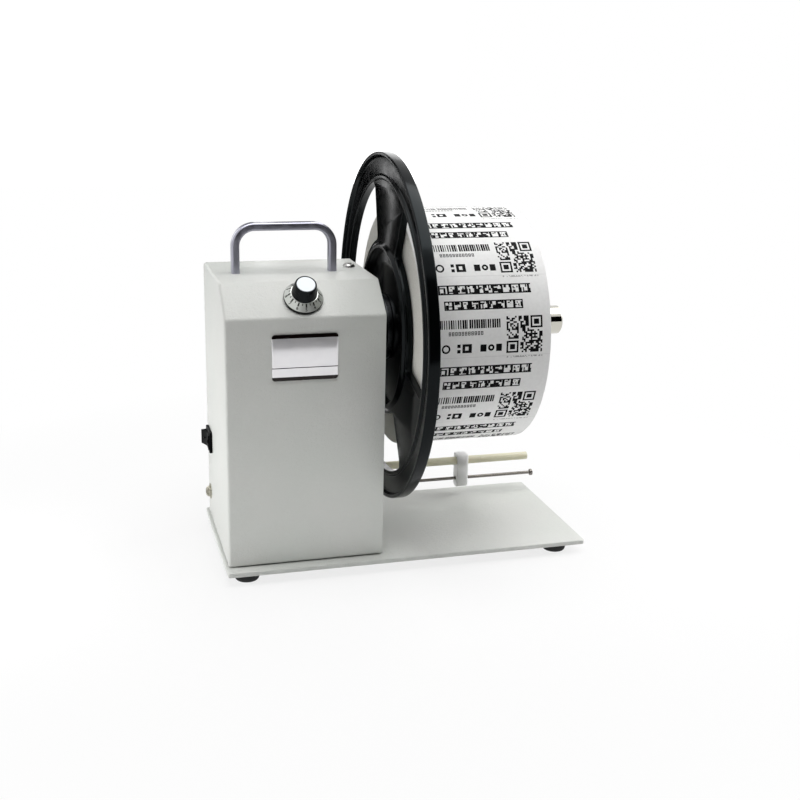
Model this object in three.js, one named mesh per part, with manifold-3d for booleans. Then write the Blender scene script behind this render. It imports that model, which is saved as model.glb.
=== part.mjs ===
// A motor-driven label rewinder for the bench: a geared motor in a folded steel case turns a
// chromed spindle, which carries a spoked flange wheel and a roll of labels above a base plate.
// Millimetres, +Z up, +X along the spindle away from the case, -Y towards the operator.
// Inside the machine group the origin is the case's front left corner on top of the base plate.

import * as THREE from "three";
import { mergeVertices } from "three/addons/utils/BufferGeometryUtils.js";
import Module from "manifold-3d";

const wasm = await Module();
wasm.setup();

// Wheel and the spindle's axis
const wheelRadius = 115.8;
const wheelFloorGap = 28;
const axisHeight = wheelRadius + wheelFloorGap;
const axisDepth = 50.4;

// Case
const headroom = 38.2;
const caseHeight = axisHeight + headroom;
const caseWidth = 102;
const caseDepth = 104.2;
const slopeDepth = 22.4;
const slopeDrop = 18.8;
const coverSheet = 1.2;
const coverBend = 3;
const coverLift = 0.6;
const sideSheet = 2;
const sideInset = 0.3;
const sideGap = 0.3;
const flangeWidth = 14;

// Base plate
const plateThickness = 3;
const plateLeft = 1.8;
const plateFront = 8.7;
const plateBack = 6.2;
const plateCorner = 2;
const lugSheet = 2;
const lugHeight = 28;
const lugWidth = 16;

// Rubber feet
const footRadius = 8.1;
const footHeight = 6.5;
const footInset = 12.4;
const footRightInset = 17.7;
const footLeftInset = 13.8;
const footRecess = 3.5;

// Screws
const screwRadius = 2;
const screwHead = 4.1;
const screwHeadHeight = 2.4;
const smallScrewRadius = 1.5;
const smallScrewHead = 2.9;
const smallScrewHeadHeight = 1.9;
const threadLength = 5;
const leftScrewHeight = 19.2;
const leftScrewHead = 5.4;
const leftScrewRise = 3.6;
const leftScrewFromBack = 12;

// Clearances
const slipFit = 0.15;
const runFit = 0.08;
const seatGap = 0.1;
const turnedGap = 0.3;

// Carry handle
const handleThickness = 5.1;
const handleDepth = 7.3;
const handleEdge = 1.2;
const handleSpan = 64;
const handleHeight = 32.5;
const handleBend = 12.5;
const handleFromRight = 22.75;
const handleBack = 56;
const handleThread = 9;

// Name plate
const namePlateWidth = 42;
const namePlateHeight = 29.5;
const namePlateThickness = 0.8;
const namePlateDrop = 10.2;
const namePlateLeft = 29;
const namePlateCorner = 2;

// Speed knob
const knobX = 51;
const skirtRadius = 12.4;
const skirtHeight = 5.5;
const skirtLift = 0.6;
const knobRadius = 8.2;
const knobTopRadius = 6.9;
const knobHeight = 8.2;
const knobWall = 0.7;
const capThickness = 0.8;
const shaftRadius = 3;
const bushRadius = 3.6;
const bushHeight = 2.5;
const potRadius = 8.2;
const potDepth = 10.5;

// Rocker switch
const switchFromBack = 18.2;
const switchHeight = 60.3;
const bezelLong = 21;
const bezelWide = 15;
const bezelProud = 2;
const bezelBorder = 1;
const switchDepth = 14;
const switchWall = 0.9;
const rockerDrop = 9;
const rockerRise = 2.3;

// Power inlet
const jackX = 30;
const jackHeight = 30;
const jackRadius = 4;
const jackFlange = 5.5;
const jackFlangeThickness = 1.5;
const jackDepth = 14;
const jackBore = 2.8;
const jackPin = 1;

// Spindle
const spindleRadius = 10;
const journalRadius = 6;
const spindleReach = 123.6;
const spindleChamfer = 1;

// Flange wheel
const wheelGap = 8.5;
const wheelThickness = 7.3;
const rimWidth = 2.6;
const rimRound = 0.8;
const ringInner = 97.6;
const beadWidth = 3;
const beadSet = 1.5;
const channelSet = 3;
const webSet = 2.5;
const backRelief = 0.3;
const hubRimRadius = 55;
const hubRimSet = 0.8;
const hubWall = 2.4;
const hubFlare = 2.8;
const hubFloor = 2.2;
const windowInner = 59;
const windowHalfAngle = 38.5;
const windowOuterCorner = 6;
const windowInnerCorner = 4;
const spokeCount = 3;
const spokeLean = 7;

// Hub collar
const collarRadius = 15;
const collarFlange = 22;
const collarFlangeThickness = 4;
const collarLength = 10.6;
const collarScrewCircle = 18.6;
const setScrewRadius = 2;

// Label roll
const rollRadius = 79.2;
const rollWidth = 84.6;
const rollGap = 0.3;
const coreBore = 20;
const coreWall = 2.4;
const adapterWall = 3;
const adapterWeb = 6;
const slideFit = 0.1;

// Bearings
const frontBearingRadius = 16;
const frontBearingWidth = 7;
const rearBearingRadius = 10.5;
const rearBearingWidth = 5;
const bearingBoss = 3;

// Gear train
const slowModule = 1;
const outputTeeth = 50;
const idlerSmallTeeth = 14;
const fastModule = 0.8;
const idlerBigTeeth = 48;
const pinionTeeth = 12;
const pressureAngle = 20;
const addendum = 0.8;
const dedendum = 1.25;
const backlash = 0.16;
const slowFace = 10;
const fastFace = 5;
const gearGap = 2;
const idlerPinRadius = 2.5;

// Gearbox
const housingWall = 3;
const housingFront = 4;
const gearboxCoverThickness = 4;
const tipRoom = 2;

// Motor
const motorRadius = 17.9;
const motorLength = 50;
const motorBoss = 5;
const motorBossHeight = 3;
const motorShaft = 1.585;
const endCapLength = 6;
const endCapStep = 0.5;
const motorFaceRim = 1.6;

// Guide rods
const rodFromBack = 8.2;
const guideRodHeight = 27;
const guideRodRadius = 3;
const guideRodReach = 0.9;
const rodSpacing = 14;
const tensionRodRadius = 1.2;
const armHub = 5.5;
const armThickness = 4;
const armGap = 1.8;
const armHoleRoom = 0.35;
const armTipRadius = 4;
const flagHeight = 9.5;
const flagWidth = 4;
const endCapRadius = 2.5;
const endCapThickness = 2;
const endCapFloor = 0.7;
const endCapReach = 3.3;
const blockWidth = 8.5;
const blockHalfDepth = 5;
const blockTop = 5.6;
const blockBottom = 6.4;
const blockFromWheel = 67.3;

// Rod bracket and its switch
const bracketSheet = 2;
const bracketFromSide = 19.7;
const bracketFoot = 14;
const bracketHeight = 42;
const bracketWidth = 38;
const sensorLength = 20;
const sensorHeight = 10;
const sensorWidth = 6.4;
const sensorGap = 2;

// Control board
const boardX = 8;
const boardY = 10;
const boardWidth = 52;
const boardDepth = 46;
const boardThickness = 1.6;
const boardLift = 6;
const spacerRadius = 3;

// Numbers of sides on round pieces
const wheelSides = 48;
const shaftSides = 30;
const smallSides = 20;
const screwSides = 10;

// Places that follow from the sizes
const sideOuter = caseWidth - sideInset;
const sideInner = sideOuter - sideSheet;
const wheelFace = sideOuter + wheelGap;
const wheelBack = wheelFace + wheelThickness;
const webFace = wheelFace + webSet;
const webBack = wheelBack - backRelief;
const floorFace = webBack - hubFloor;
const spindleEnd = wheelBack + spindleReach;
const plateRight = spindleEnd + 4.1;
const frontHeight = caseHeight - slopeDrop;
const slopeAngle = Math.atan2(slopeDrop, slopeDepth);
const handleLeft = caseWidth - handleFromRight - handleSpan;
const rodDepth = caseDepth - rodFromBack;

const paint = (colour, roughness, metalness) =>
  new THREE.MeshStandardMaterial({ color: colour, roughness, metalness });

const powderCoat = () => paint(0xd6d6d0, 0.55, 0);
const blackPlastic = () => paint(0x141517, 0.3, 0);
const rubber = () => paint(0x1b1b1b, 0.85, 0);
const chrome = () => paint(0xdfe2e6, 0.12, 1);
const zincSteel = () => paint(0xb9bcc2, 0.35, 1);
const satinMetal = () => paint(0x9a9c9f, 0.38, 1);
const aluminium = () => paint(0xcfd1d4, 0.3, 1);
const paper = () => paint(0xf3f2ee, 0.8, 0);
const card = () => paint(0xb08a5a, 0.9, 0);
const creamPlastic = () => paint(0xe4dcb9, 0.5, 0);
const milkyPlastic = () => paint(0xeceeee, 0.4, 0);
const boardGreen = () => paint(0x1e6a3c, 0.5, 0);
const platePrint = () => paint(0xe4e2ee, 0.4, 0);
const brass = () => paint(0xc9a04f, 0.35, 1);

const rewinder = new THREE.Group();
const machine = new THREE.Group();
rewinder.add(machine);

function addPiece(parent, name, geometry, material, position = [0, 0, 0], rotation = [0, 0, 0]) {
  const mesh = new THREE.Mesh(geometry, material);
  mesh.name = name;
  mesh.position.set(...position);
  mesh.rotation.set(...rotation);
  parent.add(mesh);
}

// Closed geometry with shared corners, no empty triangles and its faces pointing out
function welded(geometry) {
  const bare = geometry.index ? geometry.toNonIndexed() : geometry.clone();
  for (const name of Object.keys(bare.attributes)) {
    if (name !== "position") bare.deleteAttribute(name);
  }
  const merged = mergeVertices(bare, 1e-4);
  const corners = merged.index.array;
  const kept = [];
  for (let i = 0; i < corners.length; i += 3) {
    const [a, b, c] = corners.slice(i, i + 3);
    if (a !== b && b !== c && c !== a) kept.push(a, b, c);
  }
  if (enclosedVolume(merged.attributes.position.array, kept) < 0) kept.reverse();
  merged.setIndex(kept);
  return merged;
}

function enclosedVolume(points, triangles) {
  const corner = (i) => new THREE.Vector3().fromArray(points, 3 * i);
  let sum = 0;
  for (let i = 0; i < triangles.length; i += 3) {
    const [a, b, c] = triangles.slice(i, i + 3).map(corner);
    sum += a.dot(b.cross(c)) / 6;
  }
  return sum;
}

function solid(geometry) {
  const closed = welded(geometry);
  const mesh = new wasm.Mesh({
    numProp: 3,
    vertProperties: closed.attributes.position.array,
    triVerts: Uint32Array.from(closed.index.array),
  });
  return new wasm.Manifold(mesh);
}

// Joins the added geometries and takes the cut ones away
function carved(added, cut = []) {
  let body = solid(added[0]);
  for (const more of added.slice(1)) body = body.add(solid(more));
  for (const less of cut) body = body.subtract(solid(less));
  const mesh = body.getMesh();
  const geometry = new THREE.BufferGeometry();
  geometry.setAttribute("position", new THREE.BufferAttribute(mesh.vertProperties, 3));
  geometry.setIndex(new THREE.BufferAttribute(mesh.triVerts, 1));
  return geometry;
}

function block(low, high) {
  const size = high.map((value, i) => value - low[i]);
  const geometry = new THREE.BoxGeometry(...size);
  return geometry.translate(low[0] + size[0] / 2, low[1] + size[1] / 2, low[2] + size[2] / 2);
}

// A profile of [along, radius] pairs turned round the named axis
function turned(profile, axis, sides = shaftSides) {
  const points = profile.map(([along, radius]) => new THREE.Vector2(radius, along));
  const geometry = new THREE.LatheGeometry(points, sides);
  if (axis === "x") geometry.rotateZ(-Math.PI / 2);
  if (axis === "z") geometry.rotateX(Math.PI / 2);
  return welded(geometry);
}

function rod(axis, radius, from, to, sides = shaftSides) {
  return turned([[from, 0], [from, radius], [to, radius], [to, 0]], axis, sides);
}

function pipe(axis, inner, outer, from, to, sides = shaftSides) {
  return turned([[from, inner], [from, outer], [to, outer], [to, inner], [from, inner]], axis, sides);
}

// Maps an outline's two directions and its depth to Y, Z, X or to Z, X, Y or to X, Y, Z
function extruded(outline, axis, from, to, extra = {}) {
  const shape = new THREE.Shape(outline);
  const settings = { depth: to - from, bevelEnabled: false, curveSegments: 1, ...extra };
  const geometry = new THREE.ExtrudeGeometry(shape, settings);
  geometry.translate(0, 0, from);
  const [ex, ey, ez] = [[1, 0, 0], [0, 1, 0], [0, 0, 1]].map((v) => new THREE.Vector3(...v));
  if (axis === "x") geometry.applyMatrix4(new THREE.Matrix4().makeBasis(ey, ez, ex));
  if (axis === "y") geometry.applyMatrix4(new THREE.Matrix4().makeBasis(ez, ex, ey));
  return geometry;
}

// Rounds the corners of an anticlockwise outline, one radius for each corner
function filleted(corners, radii, steps = 4) {
  const rounded = [];
  corners.forEach((corner, i) => {
    const radius = Array.isArray(radii) ? radii[i] : radii;
    if (!radius) {
      rounded.push(corner.clone());
      return;
    }
    const before = corners[(i + corners.length - 1) % corners.length].clone().sub(corner).normalize();
    const after = corners[(i + 1) % corners.length].clone().sub(corner).normalize();
    const half = Math.acos(before.dot(after)) / 2;
    const centre = before.clone().add(after).normalize();
    centre.multiplyScalar(radius / Math.sin(half)).add(corner);
    const start = before.multiplyScalar(radius / Math.tan(half)).add(corner).sub(centre);
    const end = after.multiplyScalar(radius / Math.tan(half)).add(corner).sub(centre);
    const turn = Math.atan2(start.cross(end), start.dot(end));
    for (let k = 0; k <= steps; k += 1) {
      rounded.push(start.clone().rotateAround(new THREE.Vector2(), (turn * k) / steps).add(centre));
    }
  });
  return rounded;
}

// Moves each side of an anticlockwise outline inwards
function inset(corners, distance) {
  const count = corners.length;
  const side = (i) => {
    const from = corners[i % count];
    const way = corners[(i + 1) % count].clone().sub(from).normalize();
    const inward = new THREE.Vector2(-way.y, way.x);
    return { from: from.clone().addScaledVector(inward, distance), way };
  };
  return corners.map((_, i) => {
    const first = side(i + count - 1);
    const second = side(i);
    const between = second.from.clone().sub(first.from);
    const along = between.cross(second.way) / first.way.cross(second.way);
    return first.from.clone().addScaledVector(first.way, along);
  });
}

const point = (x, y) => new THREE.Vector2(x, y);

function rectangle(x0, x1, y0, y1) {
  return [point(x0, y0), point(x1, y0), point(x1, y1), point(x0, y1)];
}

// The outline round two circles on one upright line, the larger one at the origin
function teardrop(upperRadius, lowerRadius, distance, steps = 12) {
  const tilt = Math.asin((upperRadius - lowerRadius) / distance);
  const outline = [];
  for (let k = 0; k <= steps; k += 1) {
    const angle = -tilt + ((Math.PI + 2 * tilt) * k) / steps;
    outline.push(point(upperRadius * Math.cos(angle), upperRadius * Math.sin(angle)));
  }
  for (let k = 0; k <= steps; k += 1) {
    const angle = Math.PI + tilt + ((Math.PI - 2 * tilt) * k) / steps;
    outline.push(point(lowerRadius * Math.cos(angle), lowerRadius * Math.sin(angle) - distance));
  }
  return outline;
}

// Teeth with straight flanks between the root and the tip of the involute
function gearOutline(teeth, module, phase) {
  const pitch = (teeth * module) / 2;
  const base = pitch * Math.cos(THREE.MathUtils.degToRad(pressureAngle));
  const involute = (radius) => {
    const angle = Math.acos(Math.min(1, base / radius));
    return Math.tan(angle) - angle;
  };
  const halfPitch = Math.PI / (2 * teeth) - backlash / (2 * pitch);
  const halfAt = (radius) => halfPitch + involute(pitch) - involute(Math.max(radius, base));
  const radii = [pitch - dedendum * module, pitch + addendum * module];
  const outline = [];
  for (let tooth = 0; tooth < teeth; tooth += 1) {
    const middle = phase + (2 * Math.PI * tooth) / teeth;
    const flank = radii.map((radius) => [radius, middle - halfAt(radius)]);
    const back = radii.map((radius) => [radius, middle + halfAt(radius)]).reverse();
    for (const [radius, angle] of [...flank, ...back]) {
      outline.push(point(radius * Math.cos(angle), radius * Math.sin(angle)));
    }
  }
  return outline;
}

// A pan-head screw along Z: head above the seat, shank below, with a cross recess if it shows
function panScrew(radius, head, headHeight, length, recessed = false) {
  const body = turned([
    [-length, 0],
    [-length, radius],
    [0, radius],
    [0, head],
    [0.5 * headHeight, head],
    [headHeight, 0.55 * head],
    [headHeight, 0],
  ], "z", recessed ? smallSides : screwSides);
  if (!recessed) return body;
  const long = 0.55 * head;
  const wide = 0.14 * head;
  const floor = 0.45 * headHeight;
  const top = headHeight + 1;
  return carved([body], [
    block([-long, -wide, floor], [long, wide, top]),
    block([-wide, -long, floor], [wide, long, top]),
  ]);
}

const up = [0, 0, 0];
const down = [Math.PI, 0, 0];
const right = [0, Math.PI / 2, 0];
const left = [0, -Math.PI / 2, 0];
const backwards = [-Math.PI / 2, 0, 0];

// Side view of the case as seen along +X: depth, then height
function caseOutline(bottom) {
  return [
    point(0, bottom),
    point(caseDepth, bottom),
    point(caseDepth, caseHeight),
    point(slopeDepth, caseHeight),
    point(0, frontHeight),
  ];
}

// Base plate, its lug for the cover and its feet

const plateBackEdge = caseDepth + plateBack;
const lugFace = coverSheet + sideGap;
const leftScrewDepth = caseDepth - leftScrewFromBack;
const feet = [
  ["front_left", -plateLeft + footLeftInset, -plateFront + footInset],
  ["front_right", plateRight - footRightInset, -plateFront + footInset],
  ["rear_left", -plateLeft + footLeftInset, plateBackEdge - footInset],
  ["rear_right", plateRight - footRightInset, plateBackEdge - footInset],
];
const flangeMiddle = sideOuter - sideSheet / 2 - flangeWidth / 2;
const sideScrewDepths = [axisDepth - 26, axisDepth];
const bracketFace = sideInner - bracketFromSide;
const bracketScrewX = bracketFace - bracketSheet - bracketFoot / 2;
const bracketNear = rodDepth - bracketWidth + armHub + 0.5;
const bracketScrewDepth = bracketNear + bracketWidth / 2;
const footThread = plateThickness - 0.6;

function basePlate() {
  const outline = filleted(
    rectangle(-plateLeft, plateRight, -plateFront, plateBackEdge), plateCorner);
  const sheet = extruded(outline, "z", -plateThickness, 0);
  const lug = block(
    [lugFace, leftScrewDepth - lugWidth / 2, -plateThickness / 2],
    [lugFace + lugSheet, leftScrewDepth + lugWidth / 2, lugHeight]);
  const hole = screwRadius + slipFit;
  const cuts = feet.map(([, x, y]) =>
    rod("z", hole, -plateThickness - 1, -plateThickness + footThread, screwSides).translate(x, y, 0));
  for (const y of sideScrewDepths) {
    cuts.push(rod("z", hole, -plateThickness - 1, 1, screwSides).translate(flangeMiddle, y, 0));
  }
  cuts.push(rod("z", hole, -plateThickness - 1, 1, screwSides)
    .translate(bracketScrewX, bracketScrewDepth, 0));
  cuts.push(rod("x", hole, 0, lugFace + 2 * lugSheet, screwSides)
    .translate(0, leftScrewDepth, leftScrewHeight));
  return carved([sheet, lug], cuts);
}

function rubberFoot() {
  const hole = screwRadius + slipFit;
  const recess = screwHead + 2 * slipFit;
  return turned([
    [0, hole],
    [0, footRadius],
    [-0.6 * footHeight, footRadius],
    [-footHeight, 0.82 * footRadius],
    [-footHeight, recess],
    [-footHeight + footRecess, recess],
    [-footHeight + footRecess, hole],
    [0, hole],
  ], "z", smallSides);
}

addPiece(machine, "base_plate", basePlate(), powderCoat());
for (const [place, x, y] of feet) {
  const seat = -plateThickness - footHeight + footRecess;
  const length = -seat - plateThickness + footThread - seatGap;
  addPiece(machine, `foot_${place}`, rubberFoot(), rubber(), [x, y, -plateThickness]);
  addPiece(machine, `foot_screw_${place}`,
    panScrew(screwRadius, screwHead, screwHeadHeight, length), zincSteel(), [x, y, seat], down);
}

// Folded cover: front, slope, top, back and left side in one sheet, open below and to the right

const knobSeat = [slopeDepth / 2, caseHeight - slopeDrop / 2];
const switchDepthAt = caseDepth - switchFromBack;
const handleXs = [handleLeft, handleLeft + handleSpan];
const topFlangeNear = axisDepth - 10;
const topFlangeFar = caseDepth - coverSheet - sideGap - 6;
const topScrewDepth = (topFlangeNear + topFlangeFar) / 2;
const rearScrewHeight = 0.55 * caseHeight;

function onSlope(geometry, x, height = 0) {
  geometry.translate(0, 0, height);
  geometry.rotateX(slopeAngle);
  return geometry.translate(x, ...knobSeat);
}

function caseCover() {
  const bends = [0, 0, coverBend, coverBend, coverBend];
  const roundLeft = {
    bevelEnabled: true,
    bevelSegments: 3,
    bevelThickness: coverBend - 0.5,
    bevelSize: coverBend - 0.5,
    bevelOffset: -(coverBend - 0.5),
  };
  const innerBend = coverBend - coverSheet;
  const roundInner = {
    ...roundLeft,
    bevelThickness: innerBend - 0.3,
    bevelSize: innerBend - 0.3,
    bevelOffset: -(innerBend - 0.3),
  };
  const below = -4 * coverBend;
  const outside = extruded(filleted(caseOutline(below), bends), "x",
    coverBend - 0.5, caseWidth + 2 * coverBend, roundLeft);
  const insideBends = bends.map((bend) => (bend ? innerBend : 0));
  const inside = extruded(filleted(inset(caseOutline(2 * below), coverSheet), insideBends), "x",
    coverSheet + innerBend - 0.3, caseWidth + 4 * coverBend, roundInner);
  const far = 3 * caseDepth;
  const hole = screwRadius + slipFit;
  const openingLong = bezelLong / 2 - bezelBorder + slipFit;
  const openingWide = bezelWide / 2 - bezelBorder + slipFit;
  const cuts = [
    inside,
    block([-far, -far, 4 * below], [far, far, coverLift]),
    block([caseWidth, -far, 4 * below], [far, far, far]),
    onSlope(rod("z", bushRadius + 2 * slipFit, -4, 4, smallSides), knobX),
    block([-coverBend, switchDepthAt - openingLong, switchHeight - openingWide],
      [2 * coverSheet, switchDepthAt + openingLong, switchHeight + openingWide]),
    rod("x", hole, -1, 2 * coverSheet, screwSides).translate(0, leftScrewDepth, leftScrewHeight),
    rod("y", hole, caseDepth - 2 * coverSheet, caseDepth + 1, screwSides)
      .translate(flangeMiddle, 0, rearScrewHeight),
    rod("z", hole, caseHeight - 2 * coverSheet, caseHeight + 1, screwSides)
      .translate(flangeMiddle, topScrewDepth, 0),
    rod("y", jackRadius + slipFit, caseDepth - 2 * coverSheet, caseDepth + 1, smallSides)
      .translate(jackX, 0, jackHeight),
  ];
  for (const x of handleXs) {
    cuts.push(rod("z", smallScrewRadius + slipFit, caseHeight - 2 * coverSheet, caseHeight + 1,
      screwSides).translate(x, handleBack, 0));
  }
  return carved([outside], cuts);
}

addPiece(machine, "case_cover", caseCover(), powderCoat());

// Side plate: it closes the case on the right and carries the gearbox

const gearboxScrews = [[-24.5, 6], [24.5, 6]];

function sidePlate() {
  const clear = coverSheet + sideGap;
  const bend = coverBend - clear;
  const outline = filleted(inset(caseOutline(-clear), clear), [0, 0, bend, bend, bend]);
  const plate = extruded(outline, "x", sideInner, sideOuter);
  const inner = sideOuter - sideSheet / 2 - flangeWidth;
  const root = sideInner + sideSheet / 2;
  const roof = caseHeight - clear;
  const rear = caseDepth - clear;
  const flanges = [
    block([inner, topFlangeNear, roof - sideSheet], [root, topFlangeFar, roof]),
    block([inner, rear - sideSheet, 0.35 * caseHeight], [root, rear, 0.8 * caseHeight]),
    block([inner, sideScrewDepths[0] - 9, 0], [root, sideScrewDepths[1] + 9, sideSheet]),
  ];
  const hole = screwRadius + slipFit;
  const cuts = [
    rod("x", spindleRadius + 2, sideInner - 1, sideOuter + 1).translate(0, axisDepth, axisHeight),
    rod("x", armHub + armHoleRoom, sideInner - 1, sideOuter + 1, smallSides)
      .translate(0, rodDepth, guideRodHeight),
    rod("z", hole, roof - 2 * sideSheet, roof + 1, screwSides)
      .translate(flangeMiddle, topScrewDepth, 0),
    rod("y", hole, rear - 2 * sideSheet, rear + 1, screwSides)
      .translate(flangeMiddle, 0, rearScrewHeight),
  ];
  for (const y of sideScrewDepths) {
    cuts.push(rod("z", hole, -1, 2 * sideSheet, screwSides).translate(flangeMiddle, y, 0));
  }
  for (const [y, z] of gearboxScrews) {
    cuts.push(rod("x", hole, sideInner - 1, sideOuter + 1, screwSides)
      .translate(0, axisDepth + y, axisHeight + z));
  }
  return carved([plate, ...flanges], cuts);
}

addPiece(machine, "side_plate", sidePlate(), powderCoat());

// Screws of the cover, the side plate and the rod bracket

const caseScrew = (recessed) =>
  panScrew(screwRadius, screwHead, screwHeadHeight, threadLength, recessed);
addPiece(machine, "cover_screw_top", caseScrew(true), zincSteel(),
  [flangeMiddle, topScrewDepth, caseHeight + seatGap], up);
addPiece(machine, "cover_screw_left",
  panScrew(screwRadius, leftScrewHead, leftScrewRise, threadLength, true), zincSteel(),
  [-seatGap, leftScrewDepth, leftScrewHeight], left);
addPiece(machine, "cover_screw_rear", caseScrew(true), zincSteel(),
  [flangeMiddle, caseDepth + seatGap, rearScrewHeight], backwards);
["front", "rear"].forEach((place, i) => {
  addPiece(machine, `side_plate_screw_${place}`, caseScrew(false), zincSteel(),
    [flangeMiddle, sideScrewDepths[i], -plateThickness - seatGap], down);
});
addPiece(machine, "bracket_screw", caseScrew(false), zincSteel(),
  [bracketScrewX, bracketScrewDepth, -plateThickness - seatGap], down);

// Carry handle: one bent flat bar with a thread in the foot of each leg

class HandleLine extends THREE.Curve {
  getPoint(fraction, target = new THREE.Vector3()) {
    const rise = handleHeight - handleThickness / 2 - handleBend;
    const quarter = (Math.PI / 2) * handleBend;
    const across = handleSpan - 2 * handleBend;
    const total = 2 * rise + 2 * quarter + across;
    const middle = handleSpan / 2;
    const travelled = fraction * total;
    const mirrored = travelled > total / 2;
    let way = mirrored ? total - travelled : travelled;
    let x = -middle;
    let z = Math.min(way, rise);
    way -= rise;
    if (way > 0) {
      const angle = Math.min(way, quarter) / handleBend;
      x += handleBend * (1 - Math.cos(angle));
      z += handleBend * Math.sin(angle);
      x += Math.max(0, way - quarter);
    }
    return target.set(mirrored ? -x : x, 0, z);
  }
}

function carryHandle() {
  const halfDepth = handleDepth / 2;
  const halfThickness = handleThickness / 2;
  const section = new THREE.Shape(filleted(
    rectangle(-halfDepth, halfDepth, -halfThickness, halfThickness), handleEdge));
  const bar = new THREE.ExtrudeGeometry(section, { extrudePath: new HandleLine(), steps: 30 });
  bar.translate(handleLeft + handleSpan / 2, handleBack, caseHeight);
  const cuts = handleXs.map((x) => rod("z", smallScrewRadius + slipFit / 2,
    caseHeight - 1, caseHeight + handleThread, screwSides).translate(x, handleBack, 0));
  return carved([bar], cuts);
}

addPiece(machine, "carry_handle", carryHandle(), satinMetal());
["left", "right"].forEach((place, i) => {
  const length = coverSheet + handleThread - 1.5;
  addPiece(machine, `handle_screw_${place}`,
    panScrew(smallScrewRadius, smallScrewHead, smallScrewHeadHeight, length), zincSteel(),
    [handleXs[i], handleBack, caseHeight - coverSheet - seatGap], down);
});

// Name plate

const namePlateTop = frontHeight - namePlateDrop;
const namePlateOutline = filleted(rectangle(
  namePlateTop - namePlateHeight, namePlateTop,
  namePlateLeft, namePlateLeft + namePlateWidth), namePlateCorner);
addPiece(machine, "name_plate",
  extruded(namePlateOutline, "y", -namePlateThickness, 0), platePrint());

// Speed knob on its potentiometer, in a group square to the slope

const slope = new THREE.Group();
slope.position.set(knobX, ...knobSeat);
slope.rotation.x = slopeAngle;
machine.add(slope);

const potTop = -coverSheet - turnedGap;
const shaftFoot = potTop - 0.5 * potDepth;
const skirtTop = skirtLift + skirtHeight;
const knobFoot = skirtTop + turnedGap / 2;
const knobTop = knobFoot + knobHeight;
const knobBoreTop = knobTop - 3;
const capRadius = knobTopRadius - knobWall;
const capSeat = knobTop - capThickness + seatGap;

function potentiometer() {
  const bore = shaftRadius + runFit;
  return turned([
    [potTop - potDepth, 0],
    [potTop - potDepth, potRadius],
    [potTop, potRadius],
    [potTop, bushRadius],
    [bushHeight, bushRadius],
    [bushHeight, bore],
    [shaftFoot, bore],
    [shaftFoot, 0],
  ], "z", smallSides);
}

function dialSkirt() {
  const bore = bushRadius + 0.7;
  return turned([
    [skirtLift, bore],
    [skirtLift, skirtRadius - 0.3],
    [skirtLift + 0.4, skirtRadius],
    [skirtLift + 0.9, skirtRadius],
    [skirtTop, knobRadius + 0.4],
    [skirtTop, bore],
    [skirtLift, bore],
  ], "z");
}

function knobBody() {
  const recess = capRadius + slipFit;
  return turned([
    [knobBoreTop, 0],
    [knobBoreTop, shaftRadius + seatGap],
    [knobFoot, shaftRadius + seatGap],
    [knobFoot, knobRadius],
    [knobTop - 0.8, knobTopRadius],
    [knobTop, (knobTopRadius + recess) / 2],
    [knobTop, recess],
    [capSeat - seatGap, recess],
    [capSeat - seatGap, 0],
  ], "z");
}

addPiece(slope, "potentiometer", potentiometer(), zincSteel());
addPiece(slope, "pot_shaft", rod("z", shaftRadius, shaftFoot + turnedGap,
  knobBoreTop - turnedGap, smallSides), zincSteel());
addPiece(slope, "dial_skirt", dialSkirt(), aluminium());
addPiece(slope, "knob_body", knobBody(), blackPlastic());
addPiece(slope, "knob_cap", rod("z", capRadius, capSeat, capSeat + capThickness), aluminium());

// Rocker switch in the left side, made upright in its group, which turns it onto its side

const rockerSwitch = new THREE.Group();
rockerSwitch.position.set(0, switchDepthAt, switchHeight);
rockerSwitch.rotation.x = -Math.PI / 2;
machine.add(rockerSwitch);

function switchBody() {
  const halfLong = bezelLong / 2;
  const halfWide = bezelWide / 2;
  const bodyLong = halfLong - bezelBorder;
  const bodyWide = halfWide - bezelBorder;
  const tab = 0.4;
  const added = [
    block([-bezelProud, -halfWide, -halfLong], [0, halfWide, halfLong]),
    block([-1, -bodyWide, -bodyLong], [switchDepth, bodyWide, bodyLong]),
  ];
  for (const z of [-0.6 * bodyLong, 0, 0.6 * bodyLong]) {
    added.push(block([switchDepth - 1, -2.4, z - tab], [switchDepth + 6, 2.4, z + tab]));
  }
  const cavity = block(
    [-2 * bezelProud, -bodyWide + switchWall, -bodyLong + switchWall / 2],
    [rockerDrop, bodyWide - switchWall, bodyLong - switchWall / 2]);
  return carved(added, [cavity]);
}

function switchRocker() {
  const half = bezelLong / 2 - bezelBorder - switchWall / 2 - 0.4;
  const side = [
    point(half - 0.2, -bezelProud - rockerRise),
    point(0, -bezelProud - 0.2 * rockerRise),
    point(-half + 0.2, -bezelProud - rockerRise),
    point(-half, 0.8),
    point(-0.35 * half, 4),
    point(0.35 * half, 4),
    point(half, 0.8),
  ];
  const width = bezelWide / 2 - bezelBorder - switchWall - 2 * slipFit;
  return extruded(side.reverse(), "y", -width, width);
}

const rockerTilt = THREE.MathUtils.degToRad(9);
addPiece(rockerSwitch, "switch_body", switchBody(), blackPlastic());
addPiece(rockerSwitch, "switch_rocker", switchRocker(), blackPlastic(), [0, 0, 0], [0, -rockerTilt, 0]);

// Power inlet in the back

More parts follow.
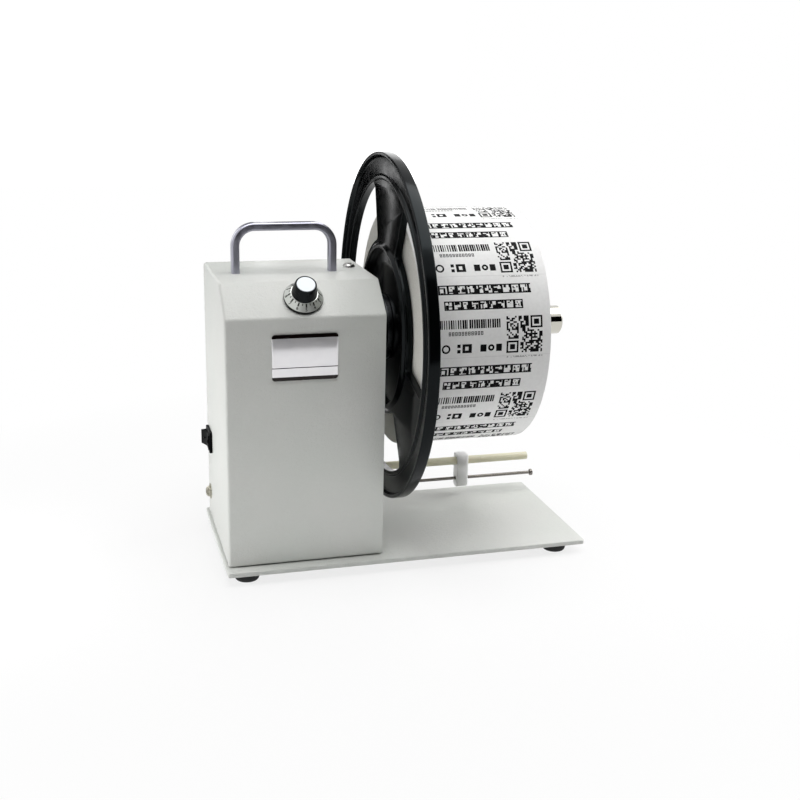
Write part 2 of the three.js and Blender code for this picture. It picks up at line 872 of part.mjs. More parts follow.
function powerInlet() {
  const body = turned([
    [caseDepth - jackDepth, 0],
    [caseDepth - jackDepth, jackRadius],
    [caseDepth, jackRadius],
    [caseDepth, jackFlange],
    [caseDepth + jackFlangeThickness, jackFlange],
    [caseDepth + jackFlangeThickness, jackBore],
    [caseDepth - 0.7 * jackDepth, jackBore],
    [caseDepth - 0.7 * jackDepth, 0],
  ], "y", smallSides);
  const pin = rod("y", jackPin, caseDepth - 0.8 * jackDepth, caseDepth - 1, screwSides);
  return carved([body, pin]);
}

addPiece(machine, "dc_inlet", powerInlet(), blackPlastic(), [jackX, 0, jackHeight]);

// Spindle, wheel and roll, in a group on the spindle's axis

const spindleLine = new THREE.Group();
spindleLine.position.set(0, axisDepth, axisHeight);
machine.add(spindleLine);

const housingEnd = sideInner - housingFront;
const slowFar = housingEnd - frontBearingWidth + housingFront - gearGap;
const slowNear = slowFar - slowFace;
const fastFar = slowNear - gearGap;
const fastNear = fastFar - fastFace;
const gearboxFloor = fastNear - gearGap / 2;
const gearboxFace = gearboxFloor - gearboxCoverThickness;
const rearSeat = gearboxFloor - gearGap;
const journalEnd = rearSeat - rearBearingWidth - 2;
const shoulder = slowNear - gearGap / 2;

addPiece(spindleLine, "spindle", turned([
  [journalEnd, 0],
  [journalEnd, journalRadius - 0.5],
  [journalEnd + 0.5, journalRadius],
  [shoulder, journalRadius],
  [shoulder, spindleRadius],
  [spindleEnd - spindleChamfer, spindleRadius],
  [spindleEnd, spindleRadius - spindleChamfer],
  [spindleEnd, 0],
], "x"), chrome());
addPiece(spindleLine, "front_bearing", pipe("x", spindleRadius + runFit, frontBearingRadius,
  sideInner - frontBearingWidth, sideInner), zincSteel());
addPiece(spindleLine, "rear_bearing", pipe("x", journalRadius + runFit, rearBearingRadius,
  rearSeat - rearBearingWidth, rearSeat), zincSteel());

// One window between two spokes, centred at the given angle from upright, forwards positive
function windowOutline(middle) {
  const arc = (radius, from, to, steps) => {
    const points = [];
    for (let k = 0; k <= steps; k += 1) {
      const angle = THREE.MathUtils.degToRad(from + ((to - from) * k) / steps);
      points.push(point(-radius * Math.sin(angle), radius * Math.cos(angle)));
    }
    return points;
  };
  const outer = arc(ringInner + 0.3, middle - windowHalfAngle, middle + windowHalfAngle, 10);
  const inner = arc(windowInner, middle + windowHalfAngle, middle - windowHalfAngle, 7);
  const radii = [...outer.map(() => 0), ...inner.map(() => 0)];
  radii[0] = windowOuterCorner;
  radii[outer.length - 1] = windowOuterCorner;
  radii[outer.length] = windowInnerCorner;
  radii[radii.length - 1] = windowInnerCorner;
  return filleted([...outer, ...inner], radii, 3);
}

function flangeWheel() {
  const rimInner = wheelRadius - rimWidth;
  const beadOuter = ringInner + beadWidth;
  const ring = turned([
    [wheelFace, rimInner],
    [wheelFace, wheelRadius - rimRound],
    [wheelFace + rimRound, wheelRadius],
    [wheelBack - rimRound, wheelRadius],
    [wheelBack, wheelRadius - rimRound],
    [wheelBack, beadOuter],
    [webBack, beadOuter - backRelief],
    [webBack, ringInner],
    [wheelFace + beadSet + 0.7, ringInner],
    [wheelFace + beadSet, ringInner + 0.8],
    [wheelFace + beadSet, beadOuter - 0.8],
    [wheelFace + channelSet, beadOuter],
    [wheelFace + channelSet, rimInner - 0.8],
    [wheelFace, rimInner],
  ], "x", wheelSides);
  const web = rod("x", ringInner + beadWidth / 2, webFace, webBack, wheelSides);
  const hub = turned([
    [wheelFace + hubRimSet, hubRimRadius - hubWall],
    [wheelFace + hubRimSet, hubRimRadius],
    [webFace + 1, hubRimRadius + hubFlare],
    [webBack - 1, hubRimRadius + hubFlare],
    [webBack - 1, hubRimRadius - hubWall],
    [wheelFace + hubRimSet, hubRimRadius - hubWall],
  ], "x", wheelSides);
  const windows = [];
  for (let k = 0; k < spokeCount; k += 1) {
    const middle = spokeLean + ((k + 0.5) * 360) / spokeCount;
    windows.push(extruded(windowOutline(middle), "x", webFace - 1, webBack + 1));
  }
  const pocket = rod("x", hubRimRadius - hubWall - 0.2, webFace - 1, floorFace, wheelSides);
  const bore = rod("x", spindleRadius + slipFit, webFace, webBack + 1);
  const cuts = [...windows, pocket, bore];
  for (const [y, z] of collarScrewPlaces()) {
    cuts.push(rod("x", smallScrewRadius + slipFit, webFace, webBack + 1, screwSides)
      .translate(0, y, z));
  }
  const dish = solid(web);
  const disc = cuts.reduce((body, cut) => body.subtract(solid(cut)), dish);
  const mesh = disc.add(solid(ring)).add(solid(hub)).getMesh();
  const geometry = new THREE.BufferGeometry();
  geometry.setAttribute("position", new THREE.BufferAttribute(mesh.vertProperties, 3));
  geometry.setIndex(new THREE.BufferAttribute(mesh.triVerts, 1));
  return geometry;
}

function collarScrewPlaces() {
  return [0, 1, 2].map((k) => {
    const angle = (2 * Math.PI * k) / 3 + Math.PI / 6;
    return [collarScrewCircle * Math.cos(angle), collarScrewCircle * Math.sin(angle)];
  });
}

const collarFace = floorFace - collarFlangeThickness;
const collarStart = floorFace - collarLength;
const setScrewAt = (collarStart + collarFace) / 2;

function hubCollar() {
  const bore = spindleRadius + slipFit;
  const body = turned([
    [collarStart, bore],
    [collarStart, collarRadius],
    [collarFace, collarRadius],
    [collarFace, collarFlange],
    [floorFace, collarFlange],
    [floorFace, bore],
    [collarStart, bore],
  ], "x");
  const cuts = collarScrewPlaces().map(([y, z]) =>
    rod("x", smallScrewRadius + slipFit, collarFace - 1, floorFace + 1, screwSides)
      .translate(0, y, z));
  cuts.push(rod("z", setScrewRadius + slipFit, spindleRadius, collarRadius + 2, screwSides)
    .translate(setScrewAt, 0, 0));
  return carved([body], cuts);
}

addPiece(spindleLine, "flange_wheel", flangeWheel(), blackPlastic());
addPiece(spindleLine, "hub_collar", hubCollar(), aluminium());
addPiece(spindleLine, "collar_set_screw", rod("z", setScrewRadius, spindleRadius + seatGap,
  collarRadius - 0.3, screwSides), zincSteel(), [setScrewAt, 0, 0]);
collarScrewPlaces().forEach(([y, z], k) => {
  const length = collarFlangeThickness + hubFloor - 0.4;
  addPiece(spindleLine, `wheel_screw_${k + 1}`,
    panScrew(smallScrewRadius, smallScrewHead, smallScrewHeadHeight, length), zincSteel(),
    [collarFace - seatGap, y, z], left);
});

// The roll: labels on a card core, on a plastic adapter that slips over the spindle

const rollStart = wheelBack + rollGap;
const rollEnd = rollStart + rollWidth;

function coreAdapter() {
  const bore = spindleRadius + slideFit;
  const sleeve = bore + adapterWall;
  const outer = coreBore - slideFit;
  const shell = outer - adapterWall;
  const middle = (rollStart + rollEnd) / 2;
  const web = adapterWeb / 2;
  return turned([
    [rollStart, bore],
    [rollStart, sleeve],
    [middle - web, sleeve],
    [middle - web, shell],
    [rollStart, shell],
    [rollStart, outer],
    [rollEnd, outer],
    [rollEnd, shell],
    [middle + web, shell],
    [middle + web, sleeve],
    [rollEnd, sleeve],
    [rollEnd, bore],
    [rollStart, bore],
  ], "x");
}

addPiece(spindleLine, "core_adapter", coreAdapter(), blackPlastic());
addPiece(spindleLine, "paper_core", pipe("x", coreBore, coreBore + coreWall,
  rollStart, rollEnd, wheelSides), card());
addPiece(spindleLine, "label_roll", pipe("x", coreBore + coreWall + slideFit, rollRadius,
  rollStart, rollEnd, wheelSides), paper());

// Gearbox: housing on the side plate, cover towards the motor

const slowDistance = (slowModule * (outputTeeth + idlerSmallTeeth)) / 2;
const fastDistance = (fastModule * (idlerBigTeeth + pinionTeeth)) / 2;
const motorDrop = slowDistance + fastDistance;
const housingUpper = (slowModule * outputTeeth) / 2 + addendum * slowModule + tipRoom + housingWall;
const housingLower = motorRadius + motorFaceRim;
const gearboxOutline = teardrop(housingUpper, housingLower, motorDrop);
const gearboxInside = teardrop(housingUpper - housingWall, housingLower - housingWall, motorDrop);

function gearboxHousing() {
  const outside = extruded(gearboxOutline, "x", gearboxFloor + seatGap, sideInner - seatGap);
  const inside = extruded(gearboxInside, "x", gearboxFloor - 1, housingEnd);
  const bossRadius = frontBearingRadius + bearingBoss;
  const bearingFace = sideInner - frontBearingWidth;
  const boss = rod("x", bossRadius, bearingFace, housingEnd + 1);
  const shell = carved([outside], [inside]);
  const cuts = [
    rod("x", frontBearingRadius + slipFit, bearingFace - 1, sideInner + 1),
    rod("x", idlerPinRadius + slipFit, housingEnd - 1, housingEnd + 3, smallSides)
      .translate(0, 0, -slowDistance),
  ];
  for (const [y, z] of gearboxScrews) {
    cuts.push(rod("x", screwRadius + slipFit, sideInner - 3.4, sideInner + 1, screwSides)
      .translate(0, y, z));
  }
  return carved([shell, boss], cuts);
}

function gearboxCover() {
  const plate = extruded(gearboxOutline, "x", gearboxFace, gearboxFloor);
  const boss = rod("x", rearBearingRadius + bearingBoss, rearSeat - rearBearingWidth - 1,
    gearboxFace + 1);
  return carved([plate, boss], [
    rod("x", rearBearingRadius + slipFit, journalEnd - 1, rearSeat),
    rod("x", journalRadius + 1, rearSeat - 1, gearboxFloor + 1),
    rod("x", idlerPinRadius + slipFit, gearboxFace + 1, gearboxFloor + 1, smallSides)
      .translate(0, 0, -slowDistance),
    rod("x", motorBoss + slipFit, gearboxFace - 1, gearboxFloor + 1, smallSides)
      .translate(0, 0, -motorDrop),
  ]);
}

addPiece(spindleLine, "gearbox_housing", gearboxHousing(), satinMetal());
addPiece(spindleLine, "gearbox_cover", gearboxCover(), satinMetal());
gearboxScrews.forEach(([y, z], k) => {
  const length = sideSheet + 3;
  addPiece(spindleLine, `gearbox_screw_${k + 1}`,
    panScrew(screwRadius, screwHead, screwHeadHeight, length), zincSteel(),
    [sideOuter + seatGap, y, z], right);
});

// Gears: the output wheel on the spindle, the compound idler on its pin, the pinion on the motor

const downwards = -Math.PI / 2;
const outputPhase = downwards + Math.PI / outputTeeth;
const pinionPhase = Math.PI / 2 + Math.PI / pinionTeeth;

addPiece(spindleLine, "output_gear", carved(
  [extruded(gearOutline(outputTeeth, slowModule, outputPhase), "x", slowNear, slowFar)],
  [rod("x", spindleRadius + slipFit, slowNear - 1, slowFar + 1)],
), brass());
addPiece(spindleLine, "idler_gear", carved([
  extruded(gearOutline(idlerSmallTeeth, slowModule, Math.PI / 2), "x", slowNear, slowFar),
  extruded(gearOutline(idlerBigTeeth, fastModule, downwards), "x", fastNear, fastFar),
  rod("x", 0.7 * slowModule * idlerSmallTeeth / 2, fastNear + 1, slowFar - 1, smallSides),
], [
  rod("x", idlerPinRadius + runFit, fastNear - 1, slowFar + 1, smallSides),
]), zincSteel(), [0, 0, -slowDistance]);
addPiece(spindleLine, "idler_pin", rod("x", idlerPinRadius, gearboxFace + 1 + seatGap,
  housingEnd + 3 - seatGap, smallSides), zincSteel(), [0, 0, -slowDistance]);

const motorLine = new THREE.Group();
motorLine.position.set(0, 0, -motorDrop);
spindleLine.add(motorLine);

const motorFace = gearboxFace - seatGap;
const motorRear = motorFace - motorLength;
const shaftStart = motorRear - 0.8 * endCapLength;

function motorCan() {
  const bore = motorShaft + runFit;
  return turned([
    [motorRear, bore],
    [motorRear, motorRadius],
    [motorFace, motorRadius],
    [motorFace, motorBoss],
    [motorFace + motorBossHeight, motorBoss],
    [motorFace + motorBossHeight, bore],
    [motorRear, bore],
  ], "x");
}

function motorEndCap() {
  const radius = motorRadius - endCapStep;
  const cap = turned([
    [motorRear - endCapLength, 0],
    [motorRear - endCapLength, radius - 1],
    [motorRear - endCapLength + 1, radius],
    [motorRear - seatGap, radius],
    [motorRear - seatGap, motorShaft + runFit],
    [shaftStart - seatGap, motorShaft + runFit],
    [shaftStart - seatGap, 0],
  ], "x");
  const reach = motorRear - endCapLength - 3;
  const terminals = [-1, 1].map((side) => block(
    [reach, side * 0.6 * radius - 1.5, -0.4], [motorRear - endCapLength + 1, side * 0.6 * radius + 1.5, 0.4]));
  return carved([cap, ...terminals]);
}

addPiece(motorLine, "motor_pinion", carved([
  extruded(gearOutline(pinionTeeth, fastModule, pinionPhase), "x", fastNear, fastFar),
  rod("x", motorShaft, shaftStart, fastFar + 0.5, smallSides),
]), brass());
addPiece(motorLine, "motor_can", motorCan(), zincSteel());
addPiece(motorLine, "motor_end_cap", motorEndCap(), blackPlastic());

// Guide rod, swing arm with its tension rod, and the edge guide, in a group on the guide rod's axis

const rodLine = new THREE.Group();
rodLine.position.set(0, rodDepth, guideRodHeight);
machine.add(rodLine);

const guideRodEnd = spindleEnd + guideRodReach;
const guideRodStart = bracketFace - bracketSheet - 1.5;
const armNear = sideOuter + armGap;
const armFar = armNear + armThickness;
const flagNear = bracketFace + (sensorWidth - flagWidth) / 2 + seatGap;
const capNear = guideRodEnd + endCapReach;

function swingArm() {
  const lever = extruded(teardrop(armHub, armTipRadius, rodSpacing, 10), "x", armNear, armFar);
  const hub = rod("x", armHub, flagNear, armFar - 0.5, smallSides);
  const flag = block([flagNear, -flagWidth / 2, 0], [flagNear + flagWidth, flagWidth / 2, flagHeight]);
  return carved([lever, hub, flag], [
    rod("x", guideRodRadius + runFit, flagNear - 1, armFar + 1, smallSides),
    rod("x", tensionRodRadius + slipFit, armNear - 1, armFar + 1, screwSides)
      .translate(0, 0, -rodSpacing),
  ]);
}

function rodEndCap() {
  const bore = tensionRodRadius + slipFit;
  const far = capNear + endCapThickness;
  return turned([
    [capNear, bore],
    [capNear, endCapRadius],
    [far - 0.6, endCapRadius],
    [far, endCapRadius - 0.6],
    [far, 0],
    [far - endCapFloor, 0],
    [far - endCapFloor, bore],
    [capNear, bore],
  ], "x", smallSides);
}

function guideBlock() {
  const outline = filleted(rectangle(-blockHalfDepth, blockHalfDepth,
    -rodSpacing - blockBottom, blockTop), [4, 4, 1.5, 1.5]);
  const near = wheelBack + blockFromWheel;
  const far = near + blockWidth;
  return carved([extruded(outline, "x", near, far)], [
    rod("x", guideRodRadius + slideFit, near - 1, far + 1, smallSides),
    rod("x", tensionRodRadius + slideFit, near - 1, far + 1, screwSides)
      .translate(0, 0, -rodSpacing),
  ]);
}

addPiece(rodLine, "guide_rod", rod("x", guideRodRadius, guideRodStart, guideRodEnd, smallSides),
  creamPlastic());
addPiece(rodLine, "swing_arm", swingArm(), satinMetal());
addPiece(rodLine, "tension_rod", rod("x", tensionRodRadius, armNear + 0.2,
  capNear + endCapThickness - endCapFloor - seatGap, screwSides), chrome(), [0, 0, -rodSpacing]);
addPiece(rodLine, "rod_end_cap", rodEndCap(), chrome(), [0, 0, -rodSpacing]);
addPiece(rodLine, "guide_block", guideBlock(), milkyPlastic());

// Bracket that holds the guide rod's inner end, and the switch that the arm's flag works

function rodBracket() {
  const far = bracketNear + bracketWidth;
  const start = bracketFace - bracketSheet;
  const wall = block([start, bracketNear, 0], [bracketFace, far, bracketHeight]);
  const foot = block([start - bracketFoot, bracketNear, 0], [bracketFace, far, bracketSheet]);
  return carved([wall, foot], [
    rod("x", guideRodRadius + slideFit, start - 1, bracketFace + 1, smallSides)
      .translate(0, rodDepth, guideRodHeight),
    rod("z", screwRadius + slipFit, -1, bracketSheet + 1, screwSides)
      .translate(bracketScrewX, bracketScrewDepth, 0),
  ]);
}

function sensorSwitch() {
  const near = bracketFace + seatGap;
  const far = rodDepth - 0.7 * flagHeight - sensorGap;
  const low = guideRodHeight + armHub - sensorHeight / 4;
  const body = block([near, far - sensorLength, low], [near + sensorWidth, far, low + sensorHeight]);
  const plunger = rod("y", 1.2, far - 1, far + 0.6, screwSides)
    .translate(near + sensorWidth / 2, 0, low + 0.7 * sensorHeight);
  return carved([body, plunger]);
}

addPiece(machine, "rod_bracket", rodBracket(), zincSteel());
addPiece(machine, "sensor_switch", sensorSwitch(), blackPlastic());

// Control board on its four spacers, with the larger parts that stand on it

function controlBoard() {
  const top = boardLift + boardThickness;
  const farX = boardX + boardWidth;
  const farY = boardY + boardDepth;
  const sheet = block([boardX, boardY, boardLift], [farX, farY, top]);
  const added = [sheet];
  for (const x of [boardX + 4, farX - 4]) {
    for (const y of [boardY + 4, farY - 4]) {
      added.push(rod("z", spacerRadius, 0, boardLift + 0.5, screwSides).translate(x, y, 0));
    }
  }
  for (const x of [boardX + 0.3 * boardWidth, boardX + 0.55 * boardWidth]) {
    added.push(rod("z", 5, top - 0.5, top + 16, screwSides).translate(x, boardY + 14, 0));
  }
  added.push(block([boardX + 10, farY - 12, top - 0.5], [farX - 10, farY - 4, top + 10]));
  added.push(block([farX - 14, boardY + 10, top - 0.5], [farX - 4, boardY + 28, top + 20]));
  return carved(added);
}

addPiece(machine, "control_board", controlBoard(), boardGreen());

// The object's origin is the bottom centre of its bounding box
const bounds = new THREE.Box3().setFromObject(rewinder, true);
const middle = bounds.getCenter(new THREE.Vector3());
machine.position.set(-middle.x, -middle.y, -bounds.min.z);

export default rewinder;
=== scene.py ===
"""The looks of a motor-driven label rewinder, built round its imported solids.

Sizes are in millimetres in the machine's frame: the origin is the case's front left corner on top
of the base plate, X runs along the spindle, Y to the back and Z up. metres() brings them to the
frame of the solids.
"""

import math
from functools import partialmethod

import bmesh
import bpy
import numpy as np
from mathutils import Matrix, Vector


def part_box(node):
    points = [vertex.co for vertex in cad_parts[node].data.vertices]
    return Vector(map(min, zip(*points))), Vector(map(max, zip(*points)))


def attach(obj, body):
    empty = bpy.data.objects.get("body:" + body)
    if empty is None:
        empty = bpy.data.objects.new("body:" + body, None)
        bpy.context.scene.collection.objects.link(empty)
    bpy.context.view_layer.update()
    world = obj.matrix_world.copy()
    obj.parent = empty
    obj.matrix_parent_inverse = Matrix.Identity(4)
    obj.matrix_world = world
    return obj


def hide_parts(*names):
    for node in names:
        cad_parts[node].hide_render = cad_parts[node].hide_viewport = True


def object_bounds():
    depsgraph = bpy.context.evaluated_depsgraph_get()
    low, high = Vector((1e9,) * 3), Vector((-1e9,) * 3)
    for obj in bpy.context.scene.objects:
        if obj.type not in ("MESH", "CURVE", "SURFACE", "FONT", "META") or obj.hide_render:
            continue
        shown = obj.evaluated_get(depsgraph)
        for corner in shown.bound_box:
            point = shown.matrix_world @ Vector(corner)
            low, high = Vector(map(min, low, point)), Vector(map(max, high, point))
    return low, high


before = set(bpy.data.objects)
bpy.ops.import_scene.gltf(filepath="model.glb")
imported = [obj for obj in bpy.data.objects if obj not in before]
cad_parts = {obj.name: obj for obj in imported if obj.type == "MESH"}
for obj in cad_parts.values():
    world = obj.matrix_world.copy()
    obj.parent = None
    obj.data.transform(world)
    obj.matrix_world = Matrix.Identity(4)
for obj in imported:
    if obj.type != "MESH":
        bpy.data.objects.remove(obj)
solid_low, solid_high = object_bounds()
scene = bpy.context.scene

# Where the machine's frame lies in the frame of the solids

MILLIMETRE = 0.001
PLATE_LEFT, PLATE_FRONT, PLATE_THICKNESS = 1.8, 8.7, 3.0
ORIGIN = np.array(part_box("base_plate")[0]) / MILLIMETRE
ORIGIN = ORIGIN + (PLATE_LEFT, PLATE_FRONT, PLATE_THICKNESS)


def metres(points):
    """Machine millimetres to the metres of the solids' frame."""
    return (np.asarray(points, float) + ORIGIN) * MILLIMETRE


def reach(node):
    """Lowest and highest corner of a solid, in machine millimetres."""
    return [np.array(corner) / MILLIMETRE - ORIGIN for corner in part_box(node)]


# Sizes of the machine

CASE_WIDTH, CASE_DEPTH, CASE_HEIGHT = 102.0, 104.2, 182.0
FRONT_HEIGHT, SLOPE_DEPTH = 163.2, 22.4
COVER_SHEET, COVER_BEND, SIDE_BEND, COVER_LIFT = 1.2, 3.0, 2.0, 1.1
SLOPE_ANGLE = math.atan2(CASE_HEIGHT - FRONT_HEIGHT, SLOPE_DEPTH)
KNOB_SEAT = (51.0, SLOPE_DEPTH / 2, (CASE_HEIGHT + FRONT_HEIGHT) / 2)
AXIS_Y, AXIS_Z = 50.4, 143.8
ROD_Y, ROD_Z, ROD_SPACING = 96.0, 27.0, 14.0
SWITCH_Y, SWITCH_Z = 86.0, 60.3
LEFT_SCREW_Y, LEFT_SCREW_Z = 92.2, 19.2

# Mesh making


def grid_faces(rows, columns, close_rows=False, close_columns=False, capped=()):
    """Quads between neighbouring points of a grid, closed round where a direction is closed.

    Each capped row is filled with one face.
    """
    row = np.arange(rows if close_rows else rows - 1)
    column = np.arange(columns if close_columns else columns - 1)
    a, b = (part.ravel() for part in np.meshgrid(row, column, indexing="ij"))
    a_next, b_next = (a + 1) % rows, (b + 1) % columns
    ring = [a * columns + b, a * columns + b_next, a_next * columns + b_next, a_next * columns + b]
    caps = [list(range(cap * columns, (cap + 1) * columns)) for cap in capped]
    return np.stack(ring, -1).tolist() + caps


def place(points, axis, centre=(0, 0, 0)):
    """Turns points made along Z so that they lie along X, Y or Z, then moves them to a centre."""
    order = {"x": (2, 0, 1), "y": (1, 2, 0), "z": (0, 1, 2)}[axis]
    return np.asarray(points, float)[:, order] + centre


def lathe(profile, axis="x", centre=(0, 0, 0), sides=96, closed=False, flute=None):
    """A profile of (along, radius) pairs turned round an axis.

    The radius at each angle may be changed by flute(along, radius, angle).
    """
    along, radius = np.asarray(profile, float).T[:, :, None]
    angle = np.linspace(0, 2 * np.pi, sides, endpoint=False)[None, :]
    if flute:
        radius = flute(along, radius, angle)
    points = np.stack(
        [radius * np.cos(angle), radius * np.sin(angle), along + 0 * angle], -1
    ).reshape(-1, 3)
    faces = grid_faces(len(profile), sides, close_rows=closed, close_columns=True)
    return place(points, axis, centre), faces


def arc(centre, start, end, steps):
    """Points round a centre: its start arm turned by equal angles until it is its end arm."""
    turn = math.atan2(start[0] * end[1] - start[1] * end[0], start @ end)
    angle = np.linspace(0, turn, steps + 1)[:, None]
    return centre + np.cos(angle) * start + np.sin(angle) * np.array([-start[1], start[0]])


def rounded(corners, radii, steps=5, closed=True):
    """An outline whose corners give way to arcs that touch both sides."""
    corners = np.asarray(corners, float)
    radii = np.broadcast_to(radii, len(corners))
    outline = []
    for i, corner in enumerate(corners):
        at_end = not closed and i in (0, len(corners) - 1)
        if radii[i] <= 0 or at_end:
            outline.append(corner[None, :])
            continue
        before = corners[i - 1] - corner
        after = corners[(i + 1) % len(corners)] - corner
        before, after = before / np.linalg.norm(before), after / np.linalg.norm(after)
        half = math.acos(np.clip(before @ after, -1, 1)) / 2
        middle = (before + after) / np.linalg.norm(before + after)
        centre = corner + middle * radii[i] / math.sin(half)
        start = corner + before * radii[i] / math.tan(half) - centre
        end = corner + after * radii[i] / math.tan(half) - centre
        outline.append(arc(centre, start, end, steps))
    return np.concatenate(outline)


def add_object(name, data):
    """Puts a mesh, a curve, a lens or a lamp into the scene as an object."""
    added = bpy.data.objects.new(name, data)
    scene.collection.objects.link(added)
    return added


def curve_mesh(curve):
    """The points and faces of a filled curve, which is used up."""
    holder = add_object("outline", curve)
    mesh = bpy.data.meshes.new_from_object(holder)
    points = np.zeros(len(mesh.vertices) * 3)
    mesh.vertices.foreach_get("co", points)
    faces = [list(face.vertices) for face in mesh.polygons]
    bpy.data.objects.remove(holder)
    bpy.data.meshes.remove(mesh)
    bpy.data.curves.remove(curve)
    return points.reshape(-1, 3), faces


def flat_plate(outlines, low, high, axis, edge=0.3, steps=2):
    """A flat plate with rounded edges, from the outline of its rim and those of its holes."""
    curve = bpy.data.curves.new("outline", "CURVE")
    curve.dimensions, curve.fill_mode = "2D", "BOTH"
    curve.extrude, curve.bevel_depth, curve.offset = (high - low) / 2 - edge, edge, -edge
    curve.bevel_resolution = steps
    for outline in outlines:
        spline = curve.splines.new("POLY")
        spline.points.add(len(outline) - 1)
        flat = np.zeros((len(outline), 4))
        flat[:, :2], flat[:, 3] = outline, 1
        spline.points.foreach_set("co", flat.ravel())
        spline.use_cyclic_u = True
    points, faces = curve_mesh(curve)
    return place(points + (0, 0, (low + high) / 2), axis), faces


def soft_block(low, high, radius, steps=3):
    """A box with rounded edges.

    Points on the box's faces are pulled back to an inner box, smaller by the radius all round,
    and set one radius away from it again on the same line.
    """
    low, high = np.asarray(low, float), np.asarray(high, float)
    swell = radius * np.tan(np.linspace(0, np.pi / 4, steps + 1))
    marks = [np.concatenate([low[k] + radius - swell[::-1], high[k] - radius + swell]) for k in range(3)]
    points, faces, count = [], [], 2 * (steps + 1)
    for k in range(3):
        u, v = np.meshgrid(marks[(k + 1) % 3], marks[(k + 2) % 3], indexing="ij")
        for side in (low[k], high[k]):
            flat = np.zeros((count * count, 3))
            flat[:, k] = side
            flat[:, (k + 1) % 3], flat[:, (k + 2) % 3] = u.ravel(), v.ravel()
            faces += (np.array(grid_faces(count, count)) + len(points) * count**2).tolist()
            points.append(flat)
    points = np.concatenate(points)
    inner = np.clip(points, low + radius, high - radius)
    away = points - inner
    return inner + radius * away / np.linalg.norm(away, axis=1)[:, None], faces


def circle(radius, centre, sides=48):
    """Points round a circle."""
    angle = np.linspace(0, 2 * np.pi, sides, endpoint=False)
    return np.stack([radius * np.cos(angle), radius * np.sin(angle)], -1) + centre


def box_outline(x0, x1, y0, y1, radius=0.0, steps=5):
    """A rectangle with rounded corners."""
    return rounded([(x0, y0), (x1, y0), (x1, y1), (x0, y1)], radius, steps)


def cleaned(mesh):
    """A mesh with its doubles merged and its faces turned outwards."""
    editing = bmesh.new()
    editing.from_mesh(mesh)
    bmesh.ops.remove_doubles(editing, verts=editing.verts, dist=2e-6)
    bmesh.ops.dissolve_degenerate(editing, edges=editing.edges, dist=1e-7)
    bmesh.ops.recalc_face_normals(editing, faces=editing.faces)
    editing.to_mesh(mesh)
    editing.free()
    return mesh


def make_mesh(name, surfaces):
    """One mesh from several surfaces."""
    points, faces, start = [], [], 0
    for surface_points, surface_faces in surfaces:
        points.append(metres(surface_points))
        faces += [[start + corner for corner in face] for face in surface_faces]
        start += len(surface_points)
    mesh = bpy.data.meshes.new(name)
    mesh.from_pydata(np.concatenate(points).tolist(), [], faces)
    return cleaned(mesh)


def make_piece(name, surfaces, material, body, nodes=(), crease=32.0):
    """An object that rides on a body and stands for the named solids."""
    dress(add_object(name, make_mesh(name, surfaces)), material, body, nodes, crease)


def dress(piece, material, body, nodes=(), crease=32.0):
    """Gives a piece its material, its shading and its place among the bodies and solids."""
    mesh = piece.data
    mesh.materials.append(material)
    mesh.polygons.foreach_set("use_smooth", np.ones(len(mesh.polygons), bool))
    mesh.set_sharp_from_angle(angle=math.radians(crease))
    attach(piece, body)
    if nodes:
        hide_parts(*nodes)


# Materials


def linear(hex_colour):
    """An sRGB hex colour as linear red, green, blue and alpha."""
    parts = [int(hex_colour[i : i + 2], 16) / 255 for i in (1, 3, 5)]
    return [c / 12.92 if c <= 0.04045 else ((c + 0.055) / 1.055) ** 2.4 for c in parts] + [1.0]


class Value:
    """A socket in shader arithmetic: each operation adds the node that works it out."""

    def __init__(self, socket):
        self.socket, self.tree = socket, socket.id_data

    def maths(self, operation, *others):
        """One operation with this value first."""
        inputs = dict(enumerate((self, *others)))
        return work_out(self.tree, "Math", {"operation": operation}, inputs)

    __add__ = partialmethod(maths, "ADD")
    __sub__ = partialmethod(maths, "SUBTRACT")
    __mul__ = partialmethod(maths, "MULTIPLY")
    __truediv__ = partialmethod(maths, "DIVIDE")
    __mod__ = partialmethod(maths, "FLOORED_MODULO")
    __gt__ = partialmethod(maths, "GREATER_THAN")
    __lt__ = partialmethod(maths, "LESS_THAN")


def add_node(tree, kind, settings=None, inputs=None):
    """Adds one node; an input is a number, a colour or the value that feeds it."""
    node = tree.nodes.new(f"ShaderNode{kind}")
    for name, value in (settings or {}).items():
        setattr(node, name, value)
    for name, value in (inputs or {}).items():
        feed(node, name, value)
    return node


def feed(node, name, value):
    """Leads a value into a node's input, or sets a number or colour there."""
    if isinstance(value, Value):
        value.tree.links.new(value.socket, node.inputs[name])
    else:
        node.inputs[name].default_value = value


def work_out(tree, kind, settings=None, inputs=None, output=0):
    """Adds one node and gives the value of one of its outputs."""
    return Value(add_node(tree, kind, settings, inputs).outputs[output])


def most(first, *others):
    """The highest of several values."""
    for other in others:
        first = first.maths("MAXIMUM", other)
    return first


def start_material(name, colour, roughness, metallic=0.0, **sockets):
    """A material with its plain values on the shader's own sockets."""
    material = bpy.data.materials.new(name)
    material.use_nodes = True
    shader = material.node_tree.nodes["Principled BSDF"]
    shader.inputs["Base Color"].default_value = linear(colour)
    shader.inputs["Roughness"].default_value = roughness
    shader.inputs["Metallic"].default_value = metallic
    for socket, value in sockets.items():
        shader.inputs[socket.replace("_", " ")].default_value = value
    material.diffuse_color = linear(colour)
    return material, material.node_tree, shader


def object_place(tree, scale=(1, 1, 1)):
    """Object coordinates in millimetres, stretched by a scale."""
    spot = work_out(tree, "TexCoord", output="Object")
    return work_out(tree, "Mapping", None, {0: spot, "Scale": [1000.0 * part for part in scale]})


